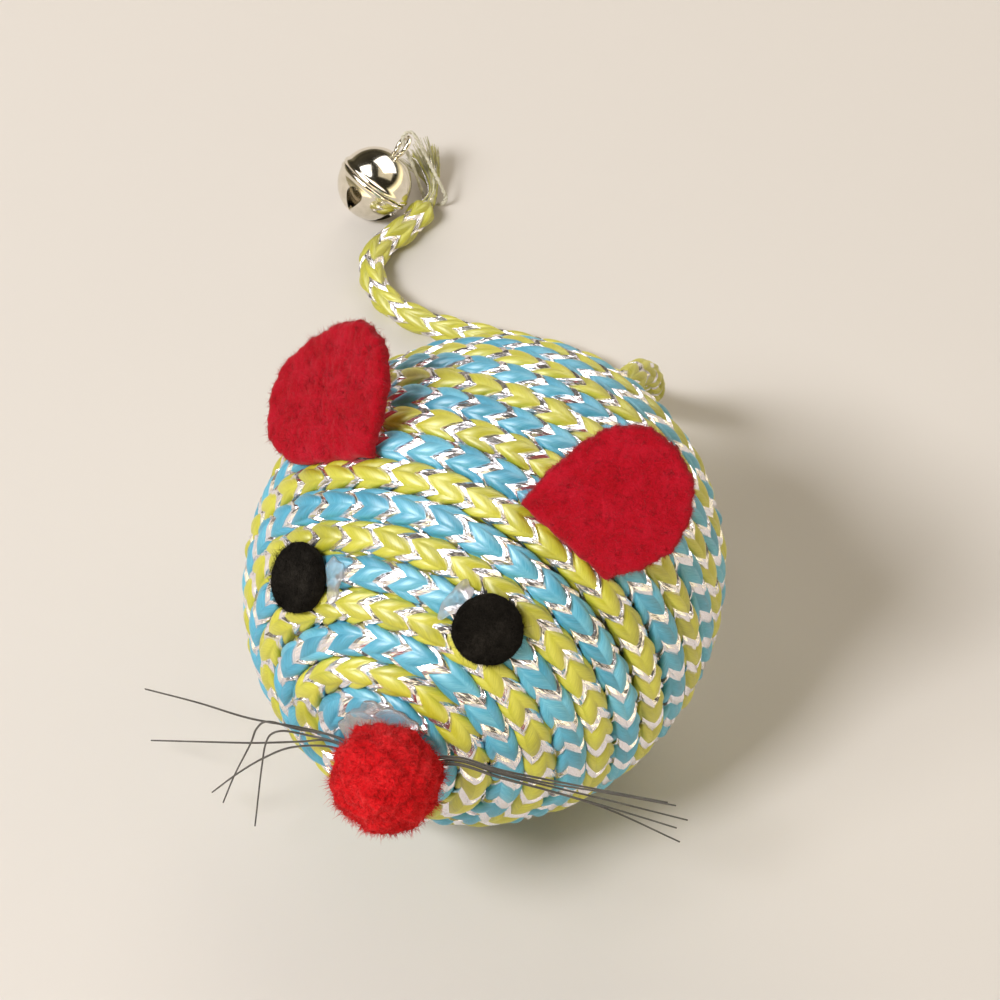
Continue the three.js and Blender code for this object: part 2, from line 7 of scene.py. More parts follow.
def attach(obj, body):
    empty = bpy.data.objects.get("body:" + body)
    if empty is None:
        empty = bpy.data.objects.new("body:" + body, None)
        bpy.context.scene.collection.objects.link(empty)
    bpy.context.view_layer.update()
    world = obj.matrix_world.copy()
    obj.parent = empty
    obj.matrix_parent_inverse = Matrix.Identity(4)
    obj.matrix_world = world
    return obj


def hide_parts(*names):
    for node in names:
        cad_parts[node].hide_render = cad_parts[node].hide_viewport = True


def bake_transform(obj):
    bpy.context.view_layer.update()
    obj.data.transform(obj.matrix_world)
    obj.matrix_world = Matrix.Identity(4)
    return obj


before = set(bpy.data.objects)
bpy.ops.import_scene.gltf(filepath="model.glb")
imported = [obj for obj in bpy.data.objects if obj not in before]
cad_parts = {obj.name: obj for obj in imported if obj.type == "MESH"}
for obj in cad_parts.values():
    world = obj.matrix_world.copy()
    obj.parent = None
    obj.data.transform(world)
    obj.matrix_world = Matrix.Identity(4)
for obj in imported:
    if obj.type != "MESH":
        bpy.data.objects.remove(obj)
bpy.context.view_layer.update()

# ---------------------------------------------------------------- dimensions, mm
A, B = 30.94, 28.68                       # half length and half width of the wound body
CENTRE = np.array([0.0, -0.95, 28.08])    # the body's centre in the row frame
TURN, PHASE = 8.15, 0.125                 # the two-start winding, as in the CAD model
CORD_T = 3.5
FLOOR = -28.08
LIE = FLOOR + 3.7 / 2 + 0.1
RNG = np.random.default_rng(7)


def unit(v):
    v = np.asarray(v, float)
    return v / np.maximum(np.linalg.norm(v, axis=-1, keepdims=True), 1e-12)


def hull_normal(p):
    p = np.asarray(p, float)
    return unit(p / np.array([B * B, A * A, B * B]))


def onto_body(p, grow=0.0):
    p = np.asarray(p, float)
    k = 1 / np.sqrt((p[..., 0:1] / B) ** 2 + (p[..., 1:2] / A) ** 2 + (p[..., 2:3] / B) ** 2)
    q = p * k
    return q + hull_normal(q) * grow


# ------------------------------------------------------------------------ camera
# the photograph's viewing angle, from the slope of the coils and the body's outline
RIGHT = np.array([0.8866, 0.4625, 0.0])
BACK = np.array([0.3146, -0.6031, 0.7330])
UP = np.array([-0.3390, 0.6499, 0.6802])
RIGHT, BACK = unit(RIGHT), unit(BACK)
UP = np.cross(BACK, RIGHT)
cam_data = bpy.data.cameras.new("camera")
cam_data.sensor_width = 36.0
cam_data.lens = 5796 / 1000 * 36.0
cam_data.clip_start, cam_data.clip_end = 0.05, 20.0
cam = bpy.data.objects.new("camera", cam_data)
bpy.context.scene.collection.objects.link(cam)
spot = (CENTRE + RIGHT * 1.87 + UP * 9.60 + BACK * 700.0) / 1000
cam.matrix_world = Matrix([
    [RIGHT[0], UP[0], BACK[0], spot[0]],
    [RIGHT[1], UP[1], BACK[1], spot[1]],
    [RIGHT[2], UP[2], BACK[2], spot[2]],
    [0, 0, 0, 1]])
bpy.context.scene.camera = cam


# ----------------------------------------------------------------- mesh helpers
def make(name, verts, faces, materials, face_mat=None, uv=None, smooth=True, attrs=None):
    """An object from points in mm about the body's centre. faces is a list of
    index arrays, one row per face."""
    co = (np.asarray(verts, float) + CENTRE) / 1000
    blocks = [np.asarray(f, np.int32) for f in faces if len(f)]
    loops = np.concatenate([b.ravel() for b in blocks])
    sizes = np.concatenate([np.full(len(b), b.shape[1], np.int32) for b in blocks])
    me = bpy.data.meshes.new(name)
    me.vertices.add(len(co))
    me.vertices.foreach_set("co", co.astype(np.float32).ravel())
    me.loops.add(len(loops))
    me.loops.foreach_set("vertex_index", loops)
    me.polygons.add(len(sizes))
    starts = np.concatenate([[0], np.cumsum(sizes)[:-1]]).astype(np.int32)
    me.polygons.foreach_set("loop_start", starts)
    me.polygons.foreach_set("loop_total", sizes)
    for m in materials:
        me.materials.append(m)
    if face_mat is not None:
        me.polygons.foreach_set("material_index", np.asarray(face_mat, np.int32))
    if uv is not None:
        layer = me.uv_layers.new(name="UVMap")
        layer.data.foreach_set("uv", np.asarray(uv, np.float32)[loops].ravel())
    for key, values in (attrs or {}).items():
        a = me.attributes.new(key, "FLOAT", "POINT")
        a.data.foreach_set("value", np.asarray(values, np.float32))
    me.update(calc_edges=True)
    me.validate(verbose=False)
    if smooth:
        me.polygons.foreach_set("use_smooth", np.ones(len(me.polygons), bool))
    me.update()
    ob = bpy.data.objects.new(name, me)
    bpy.context.scene.collection.objects.link(ob)
    return ob


def tidy(ob, dist=2e-6):
    """Merges points that fell together and drops faces with no area."""
    import bmesh
    bm = bmesh.new()
    bm.from_mesh(ob.data)
    bmesh.ops.remove_doubles(bm, verts=bm.verts, dist=dist)
    bmesh.ops.dissolve_degenerate(bm, edges=bm.edges, dist=dist * 0.5)
    loose = [v for v in bm.verts if not v.link_faces]
    bmesh.ops.delete(bm, geom=loose, context="VERTS")
    bmesh.ops.recalc_face_normals(bm, faces=bm.faces)
    bm.to_mesh(ob.data)
    bm.free()
    ob.data.update()
    return ob


def catmull(points, per=12):
    """A centripetal Catmull-Rom curve through the points."""
    P = [np.asarray(p, float) for p in points]
    P = [2 * P[0] - P[1]] + P + [2 * P[-1] - P[-2]]
    out = []
    for i in range(1, len(P) - 2):
        p0, p1, p2, p3 = P[i - 1:i + 3]
        t0 = 0.0
        t1 = t0 + max(np.linalg.norm(p1 - p0), 1e-6) ** 0.5
        t2 = t1 + max(np.linalg.norm(p2 - p1), 1e-6) ** 0.5
        t3 = t2 + max(np.linalg.norm(p3 - p2), 1e-6) ** 0.5
        for t in np.linspace(t1, t2, per, endpoint=False):
            a1 = (t1 - t) / (t1 - t0) * p0 + (t - t0) / (t1 - t0) * p1
            a2 = (t2 - t) / (t2 - t1) * p1 + (t - t1) / (t2 - t1) * p2
            a3 = (t3 - t) / (t3 - t2) * p2 + (t - t2) / (t3 - t2) * p3
            b1 = (t2 - t) / (t2 - t0) * a1 + (t - t0) / (t2 - t0) * a2
            b2 = (t3 - t) / (t3 - t1) * a2 + (t - t1) / (t3 - t1) * a3
            out.append((t2 - t) / (t2 - t1) * b1 + (t - t1) / (t2 - t1) * b2)
    out.append(P[-2])
    return np.array(out)


def frames(path, up=(0, 0, 1)):
    """Tangents and least-turned side vectors along a path."""
    T = unit(np.gradient(path, axis=0))
    N = np.zeros_like(T)
    n = np.asarray(up, float)
    for i, t in enumerate(T):
        n = n - t * np.dot(n, t)
        if np.linalg.norm(n) < 1e-6:
            n = np.array([1.0, 0, 0]) - t * t[0]
        n = n / np.linalg.norm(n)
        N[i] = n
    return T, N, np.cross(T, N)


def tube(path, radius, sides=10, caps=True):
    """Points and faces of a closed round tube; radius is one number or one per point."""
    T, N, S = frames(path)
    r = np.broadcast_to(np.asarray(radius, float), (len(path),))
    a = np.arange(sides) * 2 * math.pi / sides
    ring = np.cos(a)[None, :, None] * N[:, None, :] + np.sin(a)[None, :, None] * S[:, None, :]
    v = (path[:, None, :] + ring * r[:, None, None]).reshape(-1, 3)
    m = len(path)
    i, j = np.meshgrid(np.arange(m - 1), np.arange(sides), indexing="ij")
    q = np.stack([i * sides + j, i * sides + (j + 1) % sides, (i + 1) * sides + (j + 1) % sides, (i + 1) * sides + j], -1).reshape(-1, 4)
    tris = np.zeros((0, 3), int)
    if caps:
        c0, c1 = len(v), len(v) + 1
        v = np.vstack([v, path[0] - T[0] * r[0] * 0.4, path[-1] + T[-1] * r[-1] * 0.4])
        j = np.arange(sides)
        tris = np.vstack([
            np.stack([np.full(sides, c0), (j + 1) % sides, j], -1),
            np.stack([np.full(sides, c1), (m - 1) * sides + j, (m - 1) * sides + (j + 1) % sides], -1)])
    return v, q[:, ::-1], tris[:, ::-1]


def fibres(roots, dirs, lengths, bend, radius, rng, steps=3):
    """Many thin tapered three-sided hairs. dirs are their directions at the root,
    bend a vector that each tip is drawn along, as a share of its length."""
    n = len(roots)
    roots, dirs = np.asarray(roots, float), unit(dirs)
    lengths = np.broadcast_to(np.asarray(lengths, float), (n,))
    radius = np.broadcast_to(np.asarray(radius, float), (n,))
    side = unit(np.cross(dirs, rng.normal(size=(n, 3))))
    other = np.cross(dirs, side)
    verts, seg = [], []
    for k in range(steps + 1):
        t = k / steps
        c = roots + dirs * (lengths * t)[:, None] + bend * (lengths * t * t)[:, None]
        if k == steps:
            verts.append(c[:, None, :])
        else:
            r = radius * (1 - 0.75 * t)
            ring = [c + (side * math.cos(a) + other * math.sin(a)) * r[:, None] for a in (0, 2.0944, 4.1888)]
            verts.append(np.stack(ring, 1))
    per = 3 * steps + 1
    v = np.concatenate(verts, 1).reshape(-1, 3)
    base = np.arange(n)[:, None] * per
    quads = []
    for k in range(steps - 1):
        for j in range(3):
            a, b = 3 * k + j, 3 * k + (j + 1) % 3
            quads.append(np.concatenate([base + a, base + b, base + b + 3, base + a + 3], 1))
    tris = []
    k = steps - 1
    for j in range(3):
        a, b = 3 * k + j, 3 * k + (j + 1) % 3
        tris.append(np.concatenate([base + a, base + b, base + 3 * steps], 1))
    tris.append(np.concatenate([base + 2, base + 1, base + 0], 1))
    return v, np.concatenate(quads), np.concatenate(tris), per


def wobble(p, scale, seed, octaves=3):
    """Smooth pseudo-random field made of sines, about -1 to 1."""
    rng = np.random.default_rng(seed)
    out = np.zeros(len(p))
    amp, total = 1.0, 0.0
    for o in range(octaves):
        for _ in range(5):
            k = rng.normal(size=3)
            k = k / np.linalg.norm(k) * (2 ** o) * 2 * math.pi / scale * rng.uniform(0.7, 1.3)
            out += amp * np.sin(p @ k + rng.uniform(0, 6.28)) / 2.2
        total += amp
        amp *= 0.5
    return out / total


# -------------------------------------------------------------------- materials
def material(name):
    m = bpy.data.materials.new(name)
    m.use_nodes = True
    nt = m.node_tree
    nt.nodes.clear()
    out = nt.nodes.new("ShaderNodeOutputMaterial")
    b = nt.nodes.new("ShaderNodeBsdfPrincipled")
    nt.links.new(b.outputs[0], out.inputs[0])
    return m, nt, b


def node(nt, kind, **kw):
    n = nt.nodes.new(kind)
    for k, v in kw.items():
        setattr(n, k, v)
    return n


def mathn(nt, op, a, b=None, c=None):
    n = node(nt, "ShaderNodeMath", operation=op)
    for i, v in enumerate((a, b, c)):
        if v is None:
            continue
        if hasattr(v, "links"):
            nt.links.new(v, n.inputs[i])
        else:
            n.inputs[i].default_value = v
    return n.outputs[0]


def ramp(nt, value, stops):
    n = node(nt, "ShaderNodeValToRGB")
    e = n.color_ramp.elements
    while len(e) > 1:
        e.remove(e[-1])
    e[0].position, e[0].color = stops[0][0], (*stops[0][1], 1)
    for pos, col in stops[1:]:
        k = e.new(pos)
        k.color = (*col, 1)
    nt.links.new(value, n.inputs[0])
    return n.outputs[0]


def mixc(nt, kind, fac, a, b):
    n = node(nt, "ShaderNodeMix", data_type="RGBA", blend_type=kind)
    for sock, v in ((n.inputs[0], fac), (n.inputs[6], a), (n.inputs[7], b)):
        if hasattr(v, "links"):
            nt.links.new(v, sock)
        elif isinstance(v, (tuple, list)):
            sock.default_value = (*v, 1)
        else:
            sock.default_value = v
    return n.outputs[2]


def bump(nt, b, height, strength, distance):
    n = node(nt, "ShaderNodeBump")
    n.inputs["Strength"].default_value = strength
    n.inputs["Distance"].default_value = distance
    nt.links.new(height, n.inputs["Height"])
    nt.links.new(n.outputs[0], b.inputs["Normal"])
    return n


def yarn(name, dark, mid, light):
    """Satin yarn of a braid. The first map coordinate counts stitches along the
    cord, so its whole part is the stitch and its fraction runs across the lobe."""
    m, nt, b = material(name)
    uv = node(nt, "ShaderNodeUVMap", uv_map="UVMap")
    sep = node(nt, "ShaderNodeSeparateXYZ")
    nt.links.new(uv.outputs[0], sep.inputs[0])
    u, v = sep.outputs[0], sep.outputs[1]
    # fine filaments that run along each arm of the stitch
    comb = node(nt, "ShaderNodeCombineXYZ")
    nt.links.new(mathn(nt, "MULTIPLY", u, 34.0), comb.inputs[0])
    nt.links.new(mathn(nt, "MULTIPLY", v, 1.6), comb.inputs[1])
    fil = node(nt, "ShaderNodeTexNoise")
    fil.inputs["Scale"].default_value = 1.0
    fil.inputs["Detail"].default_value = 3.0
    fil.inputs["Roughness"].default_value = 0.6
    nt.links.new(comb.outputs[0], fil.inputs["Vector"])
    # broader change of tone from stitch to stitch
    comb2 = node(nt, "ShaderNodeCombineXYZ")
    nt.links.new(mathn(nt, "FLOOR", u), comb2.inputs[0])
    nt.links.new(mathn(nt, "FLOOR", mathn(nt, "ADD", mathn(nt, "DIVIDE", v, 7.0), 100.01)), comb2.inputs[1])
    per = node(nt, "ShaderNodeTexWhiteNoise", noise_dimensions="2D")
    nt.links.new(comb2.outputs[0], per.inputs["Vector"])
    tone = mathn(nt, "ADD", mathn(nt, "MULTIPLY", fil.outputs[0], 0.75), mathn(nt, "MULTIPLY", per.outputs[0], 0.25))
    col = ramp(nt, tone, [(0.18, dark), (0.5, mid), (0.85, light)])
    nt.links.new(col, b.inputs["Base Color"])
    b.inputs["Roughness"].default_value = 0.43
    b.inputs["IOR"].default_value = 1.6
    b.inputs["Specular IOR Level"].default_value = 0.9
    b.inputs["Sheen Weight"].default_value = 0.10
    b.inputs["Sheen Roughness"].default_value = 0.4
    bump(nt, b, fil.outputs[0], 0.25, 0.00008)
    return m


def lurex():
    m, nt, b = material("lurex_silver")
    uv = node(nt, "ShaderNodeUVMap", uv_map="UVMap")
    sep = node(nt, "ShaderNodeSeparateXYZ")
    nt.links.new(uv.outputs[0], sep.inputs[0])
    comb = node(nt, "ShaderNodeCombineXYZ")
    nt.links.new(mathn(nt, "MULTIPLY", sep.outputs[0], 12.0), comb.inputs[0])
    nt.links.new(mathn(nt, "MULTIPLY", sep.outputs[1], 4.0), comb.inputs[1])
    cells = node(nt, "ShaderNodeTexVoronoi")
    cells.inputs["Scale"].default_value = 1.0
    nt.links.new(comb.outputs[0], cells.inputs["Vector"])
    grain = node(nt, "ShaderNodeTexNoise")
    grain.inputs["Scale"].default_value = 2.0
    grain.inputs["Detail"].default_value = 2.0
    nt.links.new(comb.outputs[0], grain.inputs["Vector"])
    col = ramp(nt, grain.outputs[0], [(0.3, (0.80, 0.76, 0.79)), (0.65, (0.94, 0.91, 0.96))])
    nt.links.new(col, b.inputs["Base Color"])
    b.inputs["Metallic"].default_value = 0.94
    b.inputs["Roughness"].default_value = 0.22
    bump(nt, b, mathn(nt, "ADD", cells.outputs["Distance"], grain.outputs[0]), 0.22, 0.00012)
    return m


def felt(name, dark, mid, light, scale=900, depth=0.0005, sheen=0.05, spec=0.08):
    m, nt, b = material(name)
    tc = node(nt, "ShaderNodeTexCoord")
    big = node(nt, "ShaderNodeTexNoise")
    big.inputs["Scale"].default_value = scale * 0.35
    big.inputs["Detail"].default_value = 5.0
    big.inputs["Roughness"].default_value = 0.65
    nt.links.new(tc.outputs["Object"], big.inputs["Vector"])
    fine = node(nt, "ShaderNodeTexNoise")
    fine.inputs["Scale"].default_value = scale * 3
    fine.inputs["Detail"].default_value = 3.0
    fine.inputs["Distortion"].default_value = 1.5
    nt.links.new(tc.outputs["Object"], fine.inputs["Vector"])
    tone = mathn(nt, "ADD", mathn(nt, "MULTIPLY", big.outputs[0], 0.6), mathn(nt, "MULTIPLY", fine.outputs[0], 0.4))
    col = ramp(nt, tone, [(0.36, dark), (0.5, mid), (0.66, light)])
    nt.links.new(col, b.inputs["Base Color"])
    b.inputs["Roughness"].default_value = 0.95
    b.inputs["Specular IOR Level"].default_value = spec
    b.inputs["Sheen Weight"].default_value = sheen
    b.inputs["Sheen Roughness"].default_value = 0.5
    bump(nt, b, tone, 0.6, depth)
    return m


def glue_material(name="glue", roughness=0.17, ior=1.38, transmission=0.82):
    m, nt, b = material(name)
    tc = node(nt, "ShaderNodeTexCoord")
    n = node(nt, "ShaderNodeTexNoise")
    n.inputs["Scale"].default_value = 700
    n.inputs["Detail"].default_value = 2.0
    nt.links.new(tc.outputs["Object"], n.inputs["Vector"])
    col = ramp(nt, n.outputs[0], [(0.35, (0.88, 0.86, 0.88)), (0.7, (0.98, 0.97, 0.98))])
    nt.links.new(col, b.inputs["Base Color"])
    b.inputs["Roughness"].default_value = roughness
    b.inputs["Transmission Weight"].default_value = transmission
    b.inputs["IOR"].default_value = ior
    bump(nt, b, n.outputs[0], 0.3, 0.0003)
    return m


def plain_material(name, low, high, roughness, metallic=0.0, scale=400, strength=0.15, depth=0.0001):
    m, nt, b = material(name)
    tc = node(nt, "ShaderNodeTexCoord")
    n = node(nt, "ShaderNodeTexNoise")
    n.inputs["Scale"].default_value = scale
    n.inputs["Detail"].default_value = 4.0
    nt.links.new(tc.outputs["Object"], n.inputs["Vector"])
    col = ramp(nt, n.outputs[0], [(0.35, low), (0.65, high)])
    nt.links.new(col, b.inputs["Base Color"])
    b.inputs["Roughness"].default_value = roughness
    b.inputs["Metallic"].default_value = metallic
    bump(nt, b, n.outputs[0], strength, depth)
    return m


LIME = yarn("lime_yarn", (0.31, 0.298, 0.007), (0.505, 0.485, 0.017), (0.68, 0.65, 0.065))
BLUE = yarn("turquoise_yarn", (0.016, 0.20, 0.325), (0.052, 0.36, 0.56), (0.20, 0.58, 0.74))
LUREX = lurex()
RED = felt("red_felt", (0.30, 0.0010, 0.006), (0.37, 0.0025, 0.013), (0.43, 0.008, 0.024), sheen=0.10)
NOSE_RED = felt("red_pompom", (0.36, 0.002, 0.004), (0.58, 0.007, 0.011), (0.72, 0.03, 0.035), scale=700, sheen=0.05)
BLACK = felt("black_felt", (0.005, 0.0042, 0.0034), (0.010, 0.0085, 0.007), (0.022, 0.019, 0.016), sheen=0.0, spec=0.06)
GLUE = glue_material()
GLUE_SMEAR = glue_material("glue_smear", 0.34, 1.25, 0.84)
NYLON = plain_material("whisker_nylon", (0.045, 0.040, 0.037), (0.09, 0.082, 0.075), 0.38)
CORE = plain_material("core_plastic", (0.70, 0.67, 0.60), (0.76, 0.73, 0.66), 0.5, scale=120)
PLATED = plain_material("bell_plating", (0.74, 0.69, 0.58), (0.84, 0.79, 0.69), 0.13, metallic=1.0, scale=900, strength=0.05, depth=0.00004)
STEEL = plain_material("pellet_steel", (0.45, 0.45, 0.46), (0.6, 0.6, 0.6), 0.35, metallic=1.0)
THREAD = plain_material("thread", (0.50, 0.47, 0.38), (0.70, 0.67, 0.58), 0.75, scale=1500, strength=0.4)
TUFT = plain_material("frayed_yarn", (0.30, 0.29, 0.14), (0.62, 0.58, 0.40), 0.7, scale=900)


# ----------------------------------------------------------------- braided cords
# A round braid of plump satin yarn and flat lurex. The strands cross over and
# under in columns along the cord, and lean one way in one column and the other
# way in the next, so each pair of columns shows as a row of V stitches.
V_PITCH = 4.93          # one stitch, along the cord's outer side
REACH = 2.1             # how far a strand climbs along the cord across one column
YARN_SHARE = 0.64       # of each stitch; the rest is lurex
ROWS = np.concatenate([np.array([0.0, 0.06, 0.18, 0.34, 0.52, 0.70, 0.86, 0.95]) * YARN_SHARE,
                       YARN_SHARE + (1 - YARN_SHARE) * np.array([0.0, 0.36, 0.68])])
NROW = len(ROWS)
IS_YARN = np.arange(NROW) < 8
ARM = 1                 # the columns whose arm of lurex is the narrow one


def columns(ahead, behind):
    """Angles round the cord, with each one's column and its place across that
    column. Each side is a list of (width in degrees, steps) from the top out."""
    cuts = {6: [0, 0.09, 0.28, 0.5, 0.72, 0.91], 5: [0, 0.12, 0.36, 0.64, 0.88], 4: [0, 0.15, 0.5, 0.85], 2: [0, 0.5]}
    sides = []
    for side in (ahead, behind):
        th, pos, col, edge = [], [], [], 0.0
        for c, (wd, steps) in enumerate(side):
            for f in cuts[steps]:
                th.append(edge + f * wd)
                pos.append(f if c % 2 == 0 else 1 - f)
                col.append(c)
            edge += wd
        sides.append((np.array(th), np.array(pos), np.array(col)))
    (ta, pa, ca), (tb, pb, cb) = sides
    theta = np.concatenate([-tb[1:][::-1], ta, [180.0]])
    place = np.concatenate([pb[1:][::-1], pa, [0.0]])
    column = np.concatenate([-1 - cb[1:][::-1], ca, [len(ahead)]])
    return np.radians(theta), place, column


def braid(name, path, normal, u, half_w, half_t, colour, seed, ends=(2.5, 2.5), sink=(0.0, 0.0), settle=True,
          turn_at=None, apex_at=None, ahead=((45, 6), (45, 6), (45, 6), (45, 4)), behind=((45, 6), (45, 6), (45, 6), (45, 4)), plump=0.48):
    """The braid's surface along a path. u is the length along its outer side,
    turn_at gives how far the stitches sit off the cord's top, in mm round the
    cord, and apex_at where the stitches' points lie along it."""
    rng = np.random.default_rng(seed)
    theta, place, column = columns(ahead, behind)
    ncol = len(theta)
    T = unit(np.gradient(path, axis=0))
    N = unit(normal - T * np.sum(normal * T, axis=1, keepdims=True))
    S = np.cross(T, N)
    u0, u1 = u[0], u[-1]
    # the points of the stitches, evenly spaced between the given ones
    marks = [u0 + 1.0] if apex_at is None else [float(m) for m in apex_at]
    pts = [marks[0]]
    for m in marks[1:]:
        n = max(1, int(round((m - pts[-1]) / V_PITCH)))
        pts += list(np.linspace(pts[-1], m, n + 1)[1:])
    while pts[0] > u0 - V_PITCH:
        pts.insert(0, pts[0] - V_PITCH)
    while pts[-1] < u1 + REACH + 2 * V_PITCH:
        pts.append(pts[-1] + V_PITCH)
    pts = np.array(pts) + rng.normal(0, 0.06, len(pts))
    # a stitch's lurex is centred on its point
    lurex_mid = YARN_SHARE + (1 - YARN_SHARE) / 2
    pitch = np.diff(pts)
    starts = pts[:-1] - lurex_mid * pitch
    k = len(starts)
    nxt = np.append(starts[1:], starts[-1] + pitch[-1])
    v_rows = (starts[:, None] + (nxt - starts)[:, None] * ROWS[None, :]).ravel()
    count = (np.arange(k)[:, None] + ROWS[None, :]).ravel()
    nrow = len(v_rows)
    # a V's two arms of lurex differ: broad where it lies flat, narrow where it dives
    ci = (column - column.min()).astype(int)
    nci = ci.max() + 1
    kk = np.repeat(np.arange(k), NROW)
    share = np.where((np.arange(nci) + column.min()) % 2 == ARM, 0.15, -0.03)[None, :] + rng.normal(0, 0.035, size=(k, nci))
    pinch = np.tile(np.where(ROWS <= YARN_SHARE, ROWS / YARN_SHARE, (1 - ROWS) / (1 - YARN_SHARE)), k)
    shift = share[kk][:, ci] * np.sin(np.pi * np.clip(place, 0, 1))[None, :] ** 0.6 * pinch[:, None] * np.diff(np.append(starts, starts[-1] + pitch[-1]))[kk][:, None]
    U = v_rows[:, None] - REACH * place[None, :] + shift
    U = np.clip(U, u0, u1)
    frac = np.broadcast_to(np.tile(ROWS, k)[:, None], (nrow, ncol))
    stitch = np.repeat(np.arange(k), NROW)
    size = rng.uniform(0.82, 1.15, size=(k, nci))[stitch][:, ci]
    # yarn: a plump lobe in each column, that dives under its neighbours at both ends
    x = np.clip(frac / YARN_SHARE, 0, 1)
    pl = np.broadcast_to(place[None, :], (nrow, ncol))
    along = np.sin(np.pi * np.clip(pl, 0.0, 1.0)) ** 0.6
    lean = rng.normal(0, 0.10, size=(k, nci))[stitch][:, ci]
    lobe = plump * size * np.sin(np.pi * x) ** 0.62 * (0.64 + 0.36 * along) * (1 + lean * (x - 0.5) * 2)
    # lurex: flat strips, lower than the yarn; each arm of a V lies at its own tilt
    y = np.clip((frac - YARN_SHARE) / (1 - YARN_SHARE), 0, 1)
    inside = (frac > YARN_SHARE + 0.01)
    edge_h = 0.05
    tilt_a = rng.normal(0, 0.20, size=(k, nci))[stitch][:, ci]
    tilt_b = rng.normal(0, 0.20, size=(k, nci))[stitch][:, ci]
    strip = 0.16 + 0.14 * along + tilt_a * (pl - 0.5) + tilt_b * (y - 0.4) + rng.normal(0, 0.03, size=(nrow, ncol))
    h = np.where(inside, strip, np.maximum(lobe, edge_h)) - 0.40
    # the stitches' line turns slowly round the cord
    if turn_at is None:
        tw = 0.45 * np.sin(U / 23.0 + rng.uniform(0, 6)) + 0.2 * np.sin(U / 9.7 + rng.uniform(0, 6))
    else:
        tw = np.interp(U.ravel(), turn_at[0], turn_at[1]).reshape(U.shape) / half_w
    a = theta[None, :] + tw
    sa, ca = np.sin(a), np.cos(a)
    px = half_w * np.sign(sa) * np.abs(sa) ** 0.92
    pz = half_t * np.sign(ca) * np.abs(ca) ** 0.92
    nx, nz = sa / half_w, ca / half_t
    nl = np.hypot(nx, nz)
    px, pz = px + h * nx / nl, pz + h * nz / nl

    def at(table, where):
        return np.stack([np.interp(where.ravel(), u, table[:, c]) for c in range(3)], -1).reshape(*where.shape, 3)

    scale = np.ones_like(U)
    drop = np.zeros_like(U)
    for gap, e, s in ((U - u0, ends[0], sink[0]), (u1 - U, ends[1], sink[1])):
        t = np.clip(gap / e, 0, 1)
        t = t * t * (3 - 2 * t)
        scale = scale * (0.25 + 0.75 * t)
        drop = drop + s * (1 - t)
    O, NN, SS = at(path, U), unit(at(N, U)), unit(at(S, U))
    P = O + SS * (px * scale)[..., None] + NN * (pz * scale - drop)[..., None]
    P = P.reshape(-1, 3)
    if settle:      # the lowest coils are squashed a little on the floor
        z = P[:, 2] - FLOOR
        P[:, 2] = np.where(z < 0.8, 0.8 * np.exp((z - 0.8) / 0.8), z) + FLOOR
    i, j = np.meshgrid(np.arange(nrow - 1), np.arange(ncol), indexing="ij")
    j2 = (j + 1) % ncol
    q = np.stack([i * ncol + j, i * ncol + j2, (i + 1) * ncol + j2, (i + 1) * ncol + j], -1).reshape(-1, 4)
    fm = np.repeat(np.where(np.tile(IS_YARN, k)[:nrow - 1], 0, 1), ncol)
    same = (np.abs(U[i, j] - U[i + 1, j]) < 1e-9) & (np.abs(U[i, j2] - U[i + 1, j2]) < 1e-9)
    keep = ~same.ravel()
    q, fm = q[keep], fm[keep]
    used = np.unique(q)
    first, last = used.min() // ncol, used.max() // ncol
    caps = []
    for row in (first, last):
        c = len(P)
        P = np.vstack([P, P[row * ncol:(row + 1) * ncol].mean(0)])
        jj = np.arange(ncol)
        caps.append(np.stack([np.full(ncol, c), row * ncol + jj, row * ncol + (jj + 1) % ncol], -1))
    # the map: stitch count along the cord, place across the column, and the column's number
    col_u = column[None, :] * 7.0 + np.where(column >= 0, pl, 1 - pl)
    uvs = np.stack([np.repeat(count, ncol), col_u.ravel()], -1)
    uvs = np.vstack([uvs, [[0.3, 0.5], [0.3, 0.5]]])
    ob = make(name, P, [q[:, ::-1], np.vstack(caps)], [colour, LUREX], np.concatenate([fm, np.zeros(2 * ncol, int)]), uv=uvs)
    tidy(ob)
    flat = np.empty(len(ob.data.polygons), np.int32)
    ob.data.polygons.foreach_get("material_index", flat)
    ob.data.polygons.foreach_set("use_smooth", flat == 0)
    ob.data.update()
    return ob


# the meridian's arc length, as in the CAD model
_t = np.linspace(0, math.pi, 6001)
_s = np.concatenate([[0], np.cumsum(np.hypot(np.diff(B * np.sin(_t)), np.diff(-A * np.cos(_t))))])
MERIDIAN = _s[-1]


def on_body(s, turn):
    t = np.interp(s, _s, _t)
    phi = -2 * math.pi * turn
    return np.stack([B * np.sin(t) * np.cos(phi), -A * np.cos(t), B * np.sin(t) * np.sin(phi)], -1)


